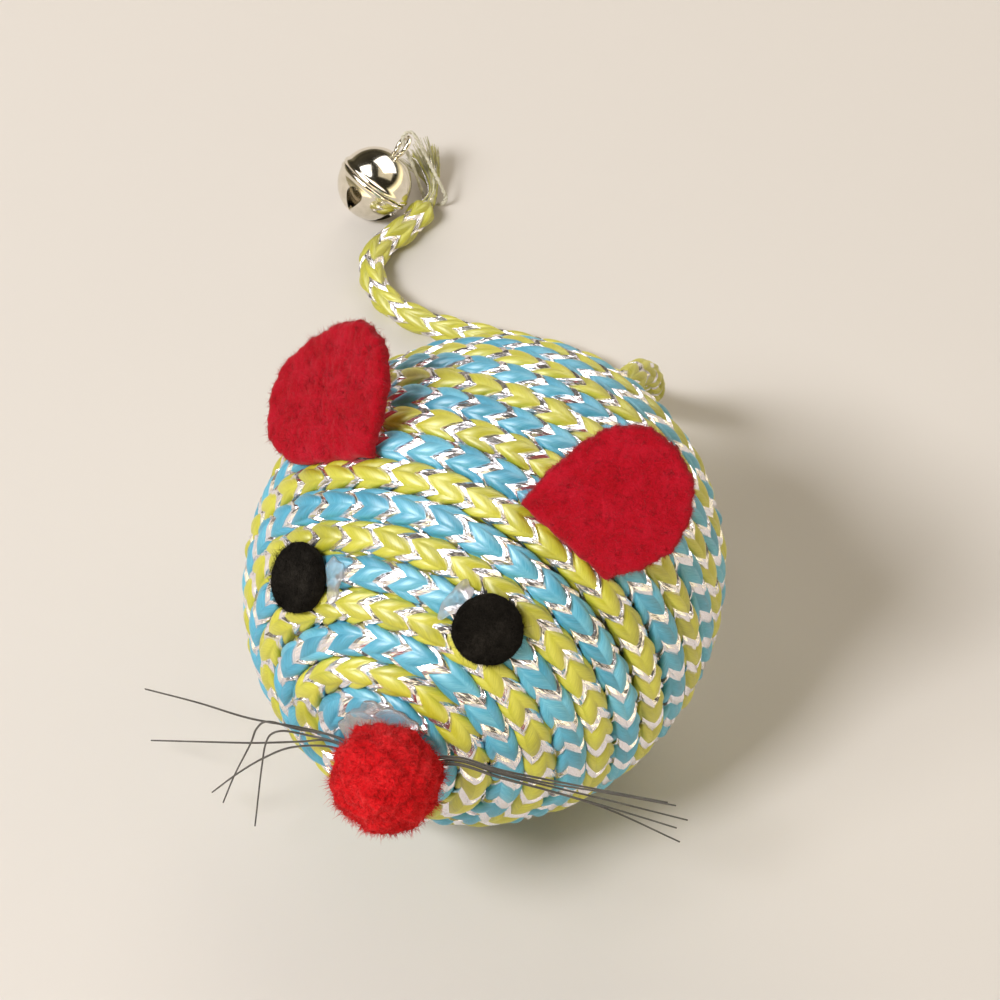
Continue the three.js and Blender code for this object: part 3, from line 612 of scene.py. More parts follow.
# How far the real coils have slipped from an even winding, in mm towards the tail:
# one row for each length along the meridian, one column for each angle round the body.
SLIP_S = [0, 12, 16, 22, 27, 32, 36, 42, 48, 62, 90]
SLIP_PHI = [0, 30, 60, 90, 115, 135, 150, 165, 180, 210, 260, 312, 336, 352, 360]
SLIP = np.array([
    [0.0] * 15,
    [0.25, 0.25, 0.35, 0.00, -0.10, 0.00, 0.10, 0.50, 0.50, 0.80, 0.60, 0.50, 0.40, 0.30, 0.25],
    [0.35, 0.30, 0.40, 0.15, 0.10, 0.10, 0.50, 0.80, 0.90, 1.20, 0.90, 0.70, 0.50, 0.50, 0.35],
    [0.35, 0.10, 0.30, 0.15, 0.20, 0.50, 1.00, 1.30, 1.30, 1.30, 1.10, 1.00, 0.90, 0.50, 0.35],
    [0.30, 0.00, 0.20, 0.35, 0.40, 0.80, 1.40, 1.50, 1.40, 1.40, 1.30, 1.20, 1.20, 0.60, 0.30],
    [0.20, 0.10, 0.30, 0.60, 0.65, 1.20, 1.50, 1.50, 1.50, 1.50, 1.40, 1.30, 1.30, 0.60, 0.20],
    [0.50, 0.90, 0.80, 0.80, 0.80, 1.30, 1.50, 1.50, 1.50, 1.50, 1.40, 1.40, 1.20, 1.00, 0.50],
    [1.20, 1.30, 1.00, 0.85, 0.85, 1.30, 1.50, 1.50, 1.50, 1.50, 1.50, 1.50, 1.50, 1.50, 1.20],
    [1.50, 1.50, 1.20, 0.95, 0.95, 1.30, 1.50, 1.50, 1.50, 1.50, 1.50, 1.50, 1.50, 1.50, 1.50],
    [1.20, 1.20, 1.10, 0.90, 0.90, 1.10, 1.20, 1.20, 1.20, 1.20, 1.20, 1.20, 1.20, 1.20, 1.20],
    [0.0] * 15])


def slip(s, turn):
    phi = np.degrees(-2 * math.pi * np.asarray(turn)) % 360
    i = np.clip(np.searchsorted(SLIP_S, s, side="right") - 1, 0, len(SLIP_S) - 2)
    j = np.clip(np.searchsorted(SLIP_PHI, phi, side="right") - 1, 0, len(SLIP_PHI) - 2)
    S, Q = np.array(SLIP_S, float), np.array(SLIP_PHI, float)
    f = np.clip((s - S[i]) / (S[i + 1] - S[i]), 0, 1)
    g = (phi - Q[j]) / (Q[j + 1] - Q[j])
    g = g * g * (3 - 2 * g)
    return ((SLIP[i, j] * (1 - g) + SLIP[i, j + 1] * g) * (1 - f)
            + (SLIP[i + 1, j] * (1 - g) + SLIP[i + 1, j + 1] * g) * f)


def wound(name, node_name, offset, colour, seed, turn_at, apex_at, ahead, behind):
    s_start, s_end = 2.6, MERIDIAN - 3.8
    s = np.linspace(s_start, s_end, 5200)
    turn = s / TURN - PHASE - offset
    even = on_body(s, turn)
    u = np.concatenate([[0], np.cumsum(np.linalg.norm(np.diff(even, axis=0), axis=1))])
    top = on_body(s + slip(s, turn), turn)
    n = hull_normal(top)
    ob = braid(name, top - n * (CORD_T / 2), n, u, 2.12, CORD_T / 2 + 0.05, colour, seed, ends=(3.0, 3.0), sink=(1.4, 1.6),
               turn_at=turn_at, apex_at=apex_at, ahead=ahead, behind=behind)
    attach(ob, "toy")
    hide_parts(node_name)
    return ob


WIDE = ((52, 6), (52, 6), (40, 4), (36, 2))
NARROW = ((52, 6), (44, 5), (42, 2), (42, 2))
# how the line of stitches turns round each cord: length along the cord, and mm off its top
BLUE_TURN = (
    [0, 13, 20, 45, 65, 70, 75, 80, 88, 96, 103, 110, 118, 150, 188, 205, 218, 224, 230, 236, 280, 321, 326, 331, 336, 353, 358, 385, 440, 503, 520, 538, 553, 640, 760, 900, 1050, 1300],
    [-1.2, -1.2, -1.05, -1.4, -1.5, -1.2, -0.95, -0.75, -0.85, -0.9, -0.75, -0.85, -1.05, -0.9, -0.75, -0.75, -0.6, -0.85, -1.05, -1.05, -0.5, 0.0, 0.2, 0.5, 0.75, 0.75, 0.5, 0.45, 0.1, -0.45, -0.45, -0.3, -0.3, 0.5, -0.6, 0.6, -0.8, 0.2])
LIME_TURN = (
    [0, 30, 36, 42, 48, 53, 58, 63, 68, 90, 115, 122, 140, 146, 152, 158, 173, 210, 243, 254, 260, 266, 272, 278, 285, 292, 297, 302, 308, 355, 403, 409, 414, 419, 425, 436, 443, 451, 459, 466, 530, 590, 599, 606, 616, 628, 641, 760, 900, 1050, 1300],
    [0.6, 0.6, 0.9, 1.2, 1.05, 0.75, 0.45, 0.15, -0.15, 0.6, 1.5, 1.65, 1.6, 1.35, 1.2, 1.35, 1.35, 0.8, 0.3, 0.35, 0.75, 1.1, 1.4, 1.6, 1.7, 1.85, 1.7, 1.4, 1.05, 0.9, 1.05, 1.4, 1.7, 1.88, 1.7, 1.5, 1.2, 1.15, 0.9, 0.6, 0.0, -0.45, -0.5, -0.9, -0.3, 0.3, 0.15, 1.1, 0.0, 1.3, 0.4])
# where the stitches' points lie along each cord
BLUE_APEX = [14.7, 19.95, 24.7, 68.97, 74.1, 79.46, 84.7, 89.6, 94.46, 99.7, 105.1, 110.2, 114.9, 119.3, 191.6, 196.96, 201.96, 206.7, 221.96, 226.96,
             231.9, 236.47, 323.47, 328.47, 333.72, 338.72, 343.72, 348.72, 353.72, 358.72, 363.48, 368.48, 373.48, 378.23, 383.23, 388.2,
             505.73, 510.73, 515.73, 520.48, 539.73, 544.7, 549.7, 554.7]
LIME_APEX = [28.6, 33.1, 37.7, 42.35, 47.1, 52.1, 57.2, 62.2, 67.1, 71.7, 122.3, 126.85, 131.35, 135.85, 140.5, 145.5, 150.5, 155.5, 160.5, 165.5, 170.6,
             243.49, 248.23, 253.1, 257.72, 262.45, 267.2, 272.2, 277.1, 281.7, 286.7, 291.6, 296.47, 301.47, 306.47, 311.45,
             403.99, 408.97, 413.85, 418.72, 423.97, 428.85, 433.48, 438.23, 442.98, 447.96, 452.7, 457.6, 462.45, 467.2, 471.94,
             593.72, 598.72, 603.97, 608.72, 628.0, 632.72, 637.45, 642.2]
wound("wound_cord_turquoise", "winding_cord_turquoise", 0.0, BLUE, 11, BLUE_TURN, BLUE_APEX, WIDE, NARROW)
wound("wound_cord_lime", "winding_cord_lime", 0.5, LIME, 12, LIME_TURN, LIME_APEX, NARROW, WIDE)

# --------------------------------------------------------------------- the tail
TAIL = [
    [0, 27.6, 0], [0, 31.2, 0], [0, 36.2, -0.4], [-0.4, 41.2, -2.6], [-1.2, 46.0, -7.0], [-2.4, 50.2, -13.0],
    [-4.4, 53.9, -19.2], [-7.8, 57.2, -24.0], [-12.4, 59.6, LIE + 0.05], [-18.2, 60.6, LIE], [-25.0, 60.0, LIE],
    [-31.8, 58.7, LIE], [-38.0, 57.8, LIE], [-43.4, 58.2, LIE], [-47.8, 60.4, LIE], [-50.6, 64.0, LIE],
    [-51.1, 67.6, LIE], [-50.2, 71.2, LIE], [-49.5, 74.8, LIE], [-49.4, 78.5, LIE]]
tail_path = catmull(TAIL, per=24)
tail_u = np.concatenate([[0], np.cumsum(np.linalg.norm(np.diff(tail_path, axis=0), axis=1))])
_T, tail_n, _S = frames(tail_path, up=(0, 0, 1))
tail = braid("tail_braid", tail_path, tail_n, tail_u, 1.75, 1.75, LIME, 21, ends=(0.6, 2.6), settle=False, plump=0.55)
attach(tail, "toy")
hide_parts("tail_cord")

# frayed end: a bundle of loose yarn that opens out past the tie
TUFT_LINE = catmull([[-49.4, 77.6, LIE], [-49.7, 79.6, LIE], [-51.2, 82.2, LIE + 0.35], [-53.0, 84.0, LIE + 0.7], [-54.9, 85.5, LIE + 0.9]], per=8)


def make_tuft():
    rng = np.random.default_rng(5)
    n = 420
    T, N, S = frames(TUFT_LINE)
    L = len(TUFT_LINE)
    t = np.linspace(0, 1, 9)
    idx = t * (L - 1)
    centre = np.stack([np.interp(idx, np.arange(L), TUFT_LINE[:, c]) for c in range(3)], -1)
    NN = np.stack([np.interp(idx, np.arange(L), N[:, c]) for c in range(3)], -1)
    SS = np.stack([np.interp(idx, np.arange(L), S[:, c]) for c in range(3)], -1)
    spread = np.interp(t, [0, 0.22, 0.38, 0.66, 1.0], [0.9, 0.62, 0.64, 1.6, 2.8])
    verts, quads, tris, fm = [], [], [], []
    base = 0
    for k in range(n):
        r, ang = math.sqrt(rng.uniform(0, 1)), rng.uniform(0, 2 * math.pi)
        reach = rng.uniform(0.62, 1.0)
        wig = rng.normal(0, 0.22, size=(3,))
        a = math.cos(ang) * r
        b = math.sin(ang) * r
        path = centre + NN * (a * spread)[:, None] + SS * (b * spread)[:, None]
        path = path + np.outer(t ** 2, wig) + np.outer(np.sin(t * rng.uniform(4, 9) + rng.uniform(0, 6)) * t, rng.normal(0, 0.16, 3))
        m = max(4, int(round(reach * 9)))
        path = path[:m]
        path[:, 2] = np.maximum(path[:, 2], FLOOR + 0.12)
        w = rng.uniform(0.05, 0.10)
        v, q, c = tube(path, w * np.linspace(1, 0.6, m), sides=4)
        verts.append(v)
        quads.append(q + base)
        tris.append(c + base)
        kind = rng.choice([0, 1, 2], p=[0.72, 0.20, 0.08])
        fm.append((kind, len(q), len(c)))
        base += len(v)
    V = np.vstack(verts)
    fq = np.concatenate([np.full(a, k) for k, a, _ in fm])
    ft = np.concatenate([np.full(b, k) for k, _, b in fm])
    uvs = np.stack([V[:, 0] * 0.6, V[:, 1] * 0.6], -1)
    ob = make("tail_frayed_end", V, [np.vstack(quads), np.vstack(tris)], [TUFT, LIME, LUREX], np.concatenate([fq, ft]), uv=uvs)
    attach(ob, "toy")
    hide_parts("tail_tuft")
    return ob


tuft = make_tuft()

# ------------------------------------------------------------------------- bell
BELL_C = np.array([-56.1, 75.1, FLOOR + 5.1])
BELL_UP = unit([0.324, 0.676, 0.6625])
BELL_R, BELL_IN = 5.0, 4.55
facing = RIGHT * -0.54 + UP * -0.35 + BACK * 0.77
BU = unit(facing - BELL_UP * np.dot(facing, BELL_UP))
BV = np.cross(BELL_UP, BU)
BELL_M = np.array([BU, BV, BELL_UP]).T       # local x, y, z as columns


def lathe(profile, segments):
    """A surface of revolution about z. The profile runs from pole to pole, and its
    first and last points, on the axis, become one point each."""
    prof = np.asarray(profile, float)
    a = np.arange(segments) * 2 * math.pi / segments
    body = prof[1:-1]
    n = len(body)
    v = np.stack([body[None, :, 0] * np.cos(a)[:, None], body[None, :, 0] * np.sin(a)[:, None],
                  np.broadcast_to(body[None, :, 1], (segments, n))], -1).reshape(-1, 3)
    v = np.vstack([v, [[0, 0, prof[0, 1]], [0, 0, prof[-1, 1]]]])
    i, j = np.meshgrid(np.arange(segments), np.arange(n - 1), indexing="ij")
    i2 = (i + 1) % segments
    q = np.stack([i * n + j, i * n + j + 1, i2 * n + j + 1, i2 * n + j], -1).reshape(-1, 4)
    k = np.arange(segments)
    k2 = (k + 1) % segments
    t = np.vstack([np.stack([np.full(segments, segments * n), k * n, k2 * n], -1),
                   np.stack([np.full(segments, segments * n + 1), k2 * n + n - 1, k * n + n - 1], -1)])
    return v, q, t


def arc(r, t0, t1, n):
    t = np.linspace(t0, t1, n)
    return [[r * math.sin(x), r * math.cos(x)] for x in t]


def prism(outline, lo, hi):
    """A closed prism from a counter-clockwise outline in x and y, between two heights."""
    o = np.asarray(outline, float)
    n = len(o)
    v = np.vstack([np.c_[o, np.full(n, lo)], np.c_[o, np.full(n, hi)], [[*o.mean(0), lo]], [[*o.mean(0), hi]]])
    j = np.arange(n)
    k = (j + 1) % n
    sides = np.stack([j, k, k + n, j + n], -1)
    caps = np.vstack([np.stack([np.full(n, 2 * n), k, j], -1), np.stack([np.full(n, 2 * n + 1), j + n, k + n], -1)])
    return v, sides, caps


def to_bell(v):
    return np.asarray(v) @ BELL_M.T + BELL_C


def outward(ob):
    """Turns a closed mesh's faces to the outside."""
    import bmesh
    bm = bmesh.new()
    bm.from_mesh(ob.data)
    bmesh.ops.recalc_face_normals(bm, faces=bm.faces)
    if bm.calc_volume(signed=True) < 0:
        bmesh.ops.reverse_faces(bm, faces=bm.faces)
    bm.to_mesh(ob.data)
    bm.free()
    ob.data.update()
    return ob


def sharpen(ob, degrees):
    me = ob.data
    me.polygons.foreach_set("use_smooth", np.ones(len(me.polygons), bool))
    me.set_sharp_from_angle(angle=math.radians(degrees))
    me.update()


def boolean_cut(ob, tools):
    for t in tools:
        mod = ob.modifiers.new("cut", "BOOLEAN")
        mod.operation = "DIFFERENCE"
        mod.object = t
        mod.solver = "MANIFOLD"
    bpy.context.view_layer.update()
    dg = bpy.context.evaluated_depsgraph_get()
    me = bpy.data.meshes.new_from_object(ob.evaluated_get(dg))
    ob.modifiers.clear()
    old = ob.data
    ob.data = me
    bpy.data.meshes.remove(old)
    for t in tools:
        data = t.data
        bpy.data.objects.remove(t)
        bpy.data.meshes.remove(data)
    return ob


def make_bell():
    half = math.pi / 2
    # domed top with a rolled edge that closes over the bottom half
    top = (arc(BELL_R, 0.0, half - 0.17, 26)
           + [[5.03, 0.74], [5.11, 0.66], [5.17, 0.52], [5.19, 0.36], [5.17, 0.20], [5.10, 0.10], [4.95, 0.06], [BELL_IN, 0.06]]
           + arc(BELL_IN, half - 0.1, 0.0, 16))
    v, q, t = lathe(top, 96)
    a = make("bell_top", to_bell(v), [q, t], [PLATED])
    outward(a)
    sharpen(a, 40)
    bottom = (arc(BELL_R, math.pi, half + 0.16, 30)
              + [[5.05, -0.66], [5.12, -0.54], [5.14, -0.36], [5.12, -0.18], [5.03, -0.08], [BELL_IN, -0.06]]
              + arc(BELL_IN, half + 0.1, math.pi, 20))
    v, q, t = lathe(bottom, 120)
    b = make("bell_bottom", to_bell(v), [q, t], [PLATED])
    outward(b)
    tools = []
    reach = math.radians(62)
    # drop-shaped holes, each a round whose sides run in towards the slit
    drop = [[1.22 * math.cos(t), 1.22 * math.sin(t)] for t in np.radians(np.linspace(-20, 200, 24))]
    drop += [[-0.85, -1.25], [-0.40, -2.3], [-0.17, -3.1], [0.17, -3.1], [0.40, -2.3], [0.85, -1.25]]
    for k in range(4):
        ang = k * half
        d = np.array([math.cos(ang), math.sin(ang), 0])
        axis = d * math.sin(reach) + np.array([0, 0, -math.cos(reach)])
        side = np.array([-math.sin(ang), math.cos(ang), 0])
        rise = np.cross(axis, side)
        if rise[2] < 0:
            rise, side = -rise, -side
        pv, ps, pc = prism(drop, 2.5, 7.0)
        t = make(f"tool_{k}", to_bell(pv @ np.array([side, rise, axis])), [ps, pc], [PLATED], smooth=False)
        outward(t)
        tools.append(t)
    # the two slits that cross at the bottom
    for k in range(2):
        pv, ps, pc = prism([[-3.9 - 0.05 * k, -0.23], [3.9 + 0.05 * k, -0.23], [3.9 + 0.05 * k, 0.23], [-3.9 - 0.05 * k, 0.23]],
                           -7.0 - 0.2 * k, -2.1 - 0.07 * k)
        if k:
            pv = pv[:, [1, 0, 2]] * np.array([-1, 1, 1])
        t = make(f"slit_{k}", to_bell(pv), [ps, pc], [PLATED], smooth=False)
        outward(t)
        tools.append(t)
    boolean_cut(b, tools)
    tidy(b, 1e-6)
    sharpen(b, 35)
    for ob, name in ((a, "bell_top_shell"), (b, "bell_bottom_shell")):
        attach(ob, "bell")
        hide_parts(name)
    # wire shank
    eye = BELL_C + BELL_UP * 6.35
    tie_at = np.array([-49.4, 79.6, LIE])
    wire_top = eye + BELL_UP * 1.35
    to_neck = unit(tie_at - wire_top)
    wire_t = unit(np.cross(-BELL_UP, to_neck))
    t = np.radians(np.linspace(-150, 150, 40))
    loop = eye + np.outer(np.cos(t) * 1.35, BELL_UP) + np.outer(np.sin(t) * 1.35, wire_t)
    v, q, c = tube(loop, 0.35, sides=14)
    ob = make("bell_wire_shank", v, [q, c], [PLATED])
    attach(ob, "bell")
    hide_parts("bell_shank")
    # loose pellet
    pv, pq, pt = lathe(arc(1.3, 0.0, math.pi, 22), 32)
    ob = make("bell_ball", pv + BELL_C + np.array([0, 0, -(5.0 - 0.45 - 1.3 - 0.1)]), [pq, pt], [STEEL])
    outward(ob)
    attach(ob, "pellet")
    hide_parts("bell_pellet")
    return a, b, eye, wire_top, to_neck, wire_t, tie_at


bell_a, bell_b, EYE_P, WIRE_TOP, TO_NECK, WIRE_T, TIE_AT = make_bell()


def make_tie():
    """Thread through the shank's eye and round the neck of the cord's end."""
    side = unit(np.cross(TO_NECK, WIRE_T))
    if np.dot(side, -BELL_UP) < 0:
        side = -side
    pts = []
    for a in (-80, -35, 0, 35, 80):
        pts.append(WIRE_TOP - TO_NECK * 0.85 * math.cos(math.radians(a)) + side * 0.85 * math.sin(math.radians(a)))
    pts.append(WIRE_TOP + TO_NECK * 3.4 + side * 1.0)

    def loop(a, dy):
        return np.array([TIE_AT[0] + 1.55 * math.cos(math.radians(a)), TIE_AT[1] + dy, TIE_AT[2] + 1.55 * math.sin(math.radians(a))])
    for a, dy in ((180, -0.42), (225, -0.36), (270, -0.1), (315, 0.15), (0, 0.3), (40, 0.4)):
        pts.append(loop(a, dy))
    pts.append(WIRE_TOP + TO_NECK * 3.4 - side * 1.1)
    pts = pts[-3:] + pts + pts[:4]
    curve = catmull(pts, per=10)
    curve = curve[30:-30]
    keep = curve[: (len(pts) - 7) * 10]
    # two plies twisted round each other
    T, N, S = frames(keep, up=(0, 1, 0))
    n = len(keep)
    L = np.concatenate([[0], np.cumsum(np.linalg.norm(np.diff(keep, axis=0), axis=1))])
    verts, quads = [], []
    base = 0
    total = L[-1] + np.linalg.norm(keep[0] - keep[-1])
    turns = round(total / 1.3)
    for ph in (0, math.pi):
        ang = ph + L / total * turns * 2 * math.pi
        path = keep + N * (0.13 * np.cos(ang))[:, None] + S * (0.13 * np.sin(ang))[:, None]
        sides = 8
        a = np.arange(sides) * 2 * math.pi / sides
        v = (path[:, None, :] + 0.17 * (np.cos(a)[None, :, None] * N[:, None, :] + np.sin(a)[None, :, None] * S[:, None, :])).reshape(-1, 3)
        # the last ring joins the first with the shift that turns it least
        d = [np.linalg.norm(v[(n - 1) * sides + np.arange(sides)] - v[(np.arange(sides) + k) % sides], axis=1).sum() for k in range(sides)]
        k = int(np.argmin(d))
        i, j = np.meshgrid(np.arange(n - 1), np.arange(sides), indexing="ij")
        q = np.stack([i * sides + j, i * sides + (j + 1) % sides, (i + 1) * sides + (j + 1) % sides, (i + 1) * sides + j], -1).reshape(-1, 4)
        j = np.arange(sides)
        last = np.stack([(n - 1) * sides + j, (n - 1) * sides + (j + 1) % sides, (j + 1 + k) % sides, (j + k) % sides], -1)
        verts.append(v)
        quads.append(np.vstack([q, last])[:, ::-1] + base)
        base += len(v)
    ob = make("bell_tie_thread", np.vstack(verts), [np.vstack(quads)], [THREAD])
    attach(ob, "tie")
    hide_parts("bell_tie")
    return ob


tie = make_tie()

# ------------------------------------------------------------------------- ears
EARS = {
    "left": dict(
        base=[(9.59, -9.05, 26.69), (20.71, -8.99, 19.39)], lean=55, half=6.65, body="left_ear",
        outline=[[-7.09, 3.66], [-6.71, 7.85], [-6.07, 11.67], [-4.74, 14.28], [-2.53, 16.36], [0.5, 17.1],
                 [3.49, 16.61], [6.21, 15.34], [7.95, 13.22], [9.39, 10.15], [9.73, 7.2], [8.7, 3.8]]),
    "right": dict(
        base=[(-20.0, -9.96, 19.73), (-9.98, -10.07, 26.23)], lean=62, half=5.97, body="right_ear",
        outline=[[-9.1, 2.2], [-10.0, 5.35], [-8.8, 10.65], [-5.5, 13.4], [-0.5, 15.4], [4.5, 16.0],
                 [7.6, 14.5], [9.4, 11.7], [9.6, 7.55], [8.1, 3.2]]),
}
EAR_T = 1.8


def ear_frame(ear):
    p, q = (np.array(x, float) for x in ear["base"])
    mid = (p + q) / 2
    e1 = unit(q - p)
    n = hull_normal(mid)
    n = unit(n - e1 * np.dot(n, e1))
    back = np.cross(n, e1)
    if back[1] < 0:
        back = -back
    t = math.radians(ear["lean"])
    e2 = n * math.cos(t) + back * math.sin(t)
    e3 = unit(np.cross(e1, e2))
    return mid + n * 0.4, e1, e2, e3, n, back


def resample(line, n):
    d = np.concatenate([[0], np.cumsum(np.linalg.norm(np.diff(line, axis=0), axis=1))])
    w = np.linspace(0, d[-1], n)
    return np.stack([np.interp(w, d, line[:, c]) for c in range(line.shape[1])], -1)


def make_ear(side_name, ear, seed):
    mid, e1, e2, e3, n, back = ear_frame(ear)
    h = ear["half"]
    # the foot lies in the groove between two coils
    xs = np.linspace(h, -h, 17)
    foot = np.c_[xs, 0.25 + 0.10 * np.sin(xs * 1.9)]
    upper = catmull([[-h, foot[-1, 1]]] + ear["outline"] + [[h, foot[0, 1]]], per=10)
    upper = np.array([[p[0], p[1]] for p in upper])
    loop = np.vstack([resample(foot, 44)[:-1], resample(upper, 150)[:-1]])
    rng = np.random.default_rng(seed)
    m = len(loop)
    ph = np.arange(m) / m * 2 * math.pi
    centre = np.array([0.0, 7.6])
    # the cut edge is a little uneven
    out = unit(loop - centre)
    rough = 0.10 * np.sin(ph * 13 + 1) + 0.07 * np.sin(ph * 29 + 2) + 0.05 * np.sin(ph * 53) + rng.normal(0, 0.035, m)
    rough[:43] *= 0.3
    loop = loop + out * rough[:, None]
    rings = np.concatenate([[1.0, 0.995, 0.98, 0.955], np.linspace(0.92, 0.06, 26)])
    edge = np.array([0.0, 0.45, 0.74, 0.92] + [1.0] * 26)
    pts, zs = [], []
    for sgn in (1, -1):
        for k, (r, e) in enumerate(zip(rings, edge)):
            if sgn == -1 and k == 0:
                continue
            pts.append(centre + (loop - centre) * r)
            zs.append(np.full(m, sgn * EAR_T / 2 * e))
        pts.append(centre[None, :])
        zs.append(np.array([sgn * EAR_T / 2]))
    P2, Z = np.vstack(pts), np.concatenate(zs)
    # gentle warp of the whole leaf, and the felt's fine unevenness
    warp = 0.55 * np.sin(P2[:, 0] / 7.5 + (0.6 if side_name == "left" else -0.4)) * np.clip(P2[:, 1] / 10, 0, 1) - 0.35 * np.clip(P2[:, 1] / 14, 0, 1.3) ** 2
    p3 = np.c_[P2, Z]
    fine = 0.10 * wobble(p3 * [1, 1, 0.4], 2.6, seed + 1) + 0.05 * wobble(p3 * [1, 1, 0.5], 0.9, seed + 2)
    Zf = Z + warp + fine * np.sign(Z)
    W = mid + P2[:, :1] * e1 + P2[:, 1:2] * e2 + Zf[:, None] * e3 - n * (1.15 * np.clip(1 - P2[:, 1] / 3.4, 0, 1.2) ** 1.6)[:, None]
    q, t = [], []
    j = np.arange(m)
    k2 = (j + 1) % m
    R = len(rings)

    def ring_start(sgn, k):
        if sgn == 1:
            return k * m
        return 0 if k == 0 else R * m + 1 + (k - 1) * m
    for sgn in (1, -1):
        for k in range(R - 1):
            a, b = ring_start(sgn, k), ring_start(sgn, k + 1)
            quad = np.stack([a + j, a + k2, b + k2, b + j], -1)
            q.append(quad if sgn == 1 else quad[:, ::-1])
        a = ring_start(sgn, R - 1)
        c = R * m if sgn == 1 else R * m + 1 + (R - 1) * m
        tri = np.stack([a + j, a + k2, np.full(m, c)], -1)
        t.append(tri if sgn == 1 else tri[:, ::-1])
    nv = len(W)
    # loose felt hairs: short, lying over the faces, and standing off the cut edge
    hairs = 4200
    wedge = np.abs(np.cross(np.c_[loop - centre, np.zeros(m)], np.c_[np.roll(loop, -1, 0) - centre, np.zeros(m)])[:, 2])
    pick = rng.choice(m, hairs, p=wedge / wedge.sum())
    rr = np.sqrt(rng.uniform(0, 1, hairs)) * 0.97
    xy = centre + (loop[pick] - centre) * rr[:, None]
    zsgn = np.where(rng.uniform(0, 1, hairs) < 0.62, 1.0, -1.0)
    if np.dot(e3, BACK) < 0:
        zsgn = -zsgn
    wz = 0.55 * np.sin(xy[:, 0] / 7.5 + (0.6 if side_name == "left" else -0.4)) * np.clip(xy[:, 1] / 10, 0, 1) - 0.35 * np.clip(xy[:, 1] / 14, 0, 1.3) ** 2
    thick = EAR_T / 2 * np.interp(rr, [0.0, 0.92, 0.955, 0.98, 1.0], [1, 1, 0.92, 0.74, 0.0])
    root = mid + xy[:, :1] * e1 + xy[:, 1:2] * e2 + (zsgn * (thick - 0.08) + wz)[:, None] * e3
    root = root - n * (1.15 * np.clip(1 - xy[:, 1] / 3.4, 0, 1.2) ** 1.6)[:, None]
    ang = rng.uniform(0, 2 * math.pi, hairs)
    d = np.cos(ang)[:, None] * e1 + np.sin(ang)[:, None] * e2 + zsgn[:, None] * e3 * rng.uniform(0.12, 0.42, hairs)[:, None]
    hv, hq, ht, _ = fibres(root, d, rng.uniform(0.45, 1.1, hairs), rng.normal(0, 0.3, (hairs, 3)), 0.024, rng)
    rim = 2400
    pick = rng.integers(44, m, rim)
    zz = rng.uniform(-0.8, 0.8, rim) * EAR_T / 2
    base2 = loop[pick] + rng.normal(0, 0.05, (rim, 2)) - out[pick] * 0.12
    warp2 = 0.55 * np.sin(base2[:, 0] / 7.5 + (0.6 if side_name == "left" else -0.4)) * np.clip(base2[:, 1] / 10, 0, 1) - 0.35 * np.clip(base2[:, 1] / 14, 0, 1.3) ** 2
    root = mid + base2[:, :1] * e1 + base2[:, 1:2] * e2 + (zz + warp2)[:, None] * e3
    root = root - n * (1.15 * np.clip(1 - base2[:, 1] / 3.4, 0, 1.2) ** 1.6)[:, None]
    od = out[pick]
    d = od[:, :1] * e1 + od[:, 1:2] * e2 + rng.normal(0, 0.6, (rim, 3))
    rv, rq, rt, _ = fibres(root, d, rng.uniform(0.2, 0.55, rim), rng.normal(0, 0.4, (rim, 3)), 0.024, rng)
    V = np.vstack([W, hv, rv])
    Q = np.vstack(q + [hq + nv, rq + nv + len(hv)])
    Tt = np.vstack(t + [ht + nv, rt + nv + len(hv)])
    ob = make(f"ear_felt_{side_name}", V, [Q, Tt], [RED])
    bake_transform(ob)
    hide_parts(f"ear_{side_name}")
    # glue bead in the groove behind the ear's foot
    beads = []
    c0 = mid + back * (2.5 + 0.05 * (ear["lean"] - 55))
    for x in np.linspace(-1, 1, 13) * (h - 1.2):
        p = onto_body(c0 + e1 * x, 0.18)
        beads.append(p)
    line = catmull(beads, per=4)
    mm = len(line)
    rad = 0.42 * np.sin(np.pi * (np.arange(mm) + 2) / (mm + 3)) ** 0.5 * (1 + 0.18 * np.sin(np.arange(mm) * 0.7))
    v, q1, c1 = tube(line, rad, sides=12)
    g = make(f"ear_glue_bead_{side_name}", v, [q1, c1], [GLUE])
    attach(g, "toy")
    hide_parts(f"ear_glue_{side_name}")
    return ob


make_ear("left", EARS["left"], 31)
make_ear("right", EARS["right"], 41)

# ------------------------------------------------------------------------- eyes
EYES = {"left": np.array([11.51, -21.19, 18.07]), "right": np.array([-12.48, -22.53, 15.9])}
EYE_GLUE = {"left": np.array([7.1, -21.1, 20.9]), "right": np.array([-6.4, -22.8, 19.1])}


def basis(n):
    n = unit(n)
    a = unit(np.cross(n, [0.0, 0.0, 1.0]))
    return a, np.cross(n, a), n


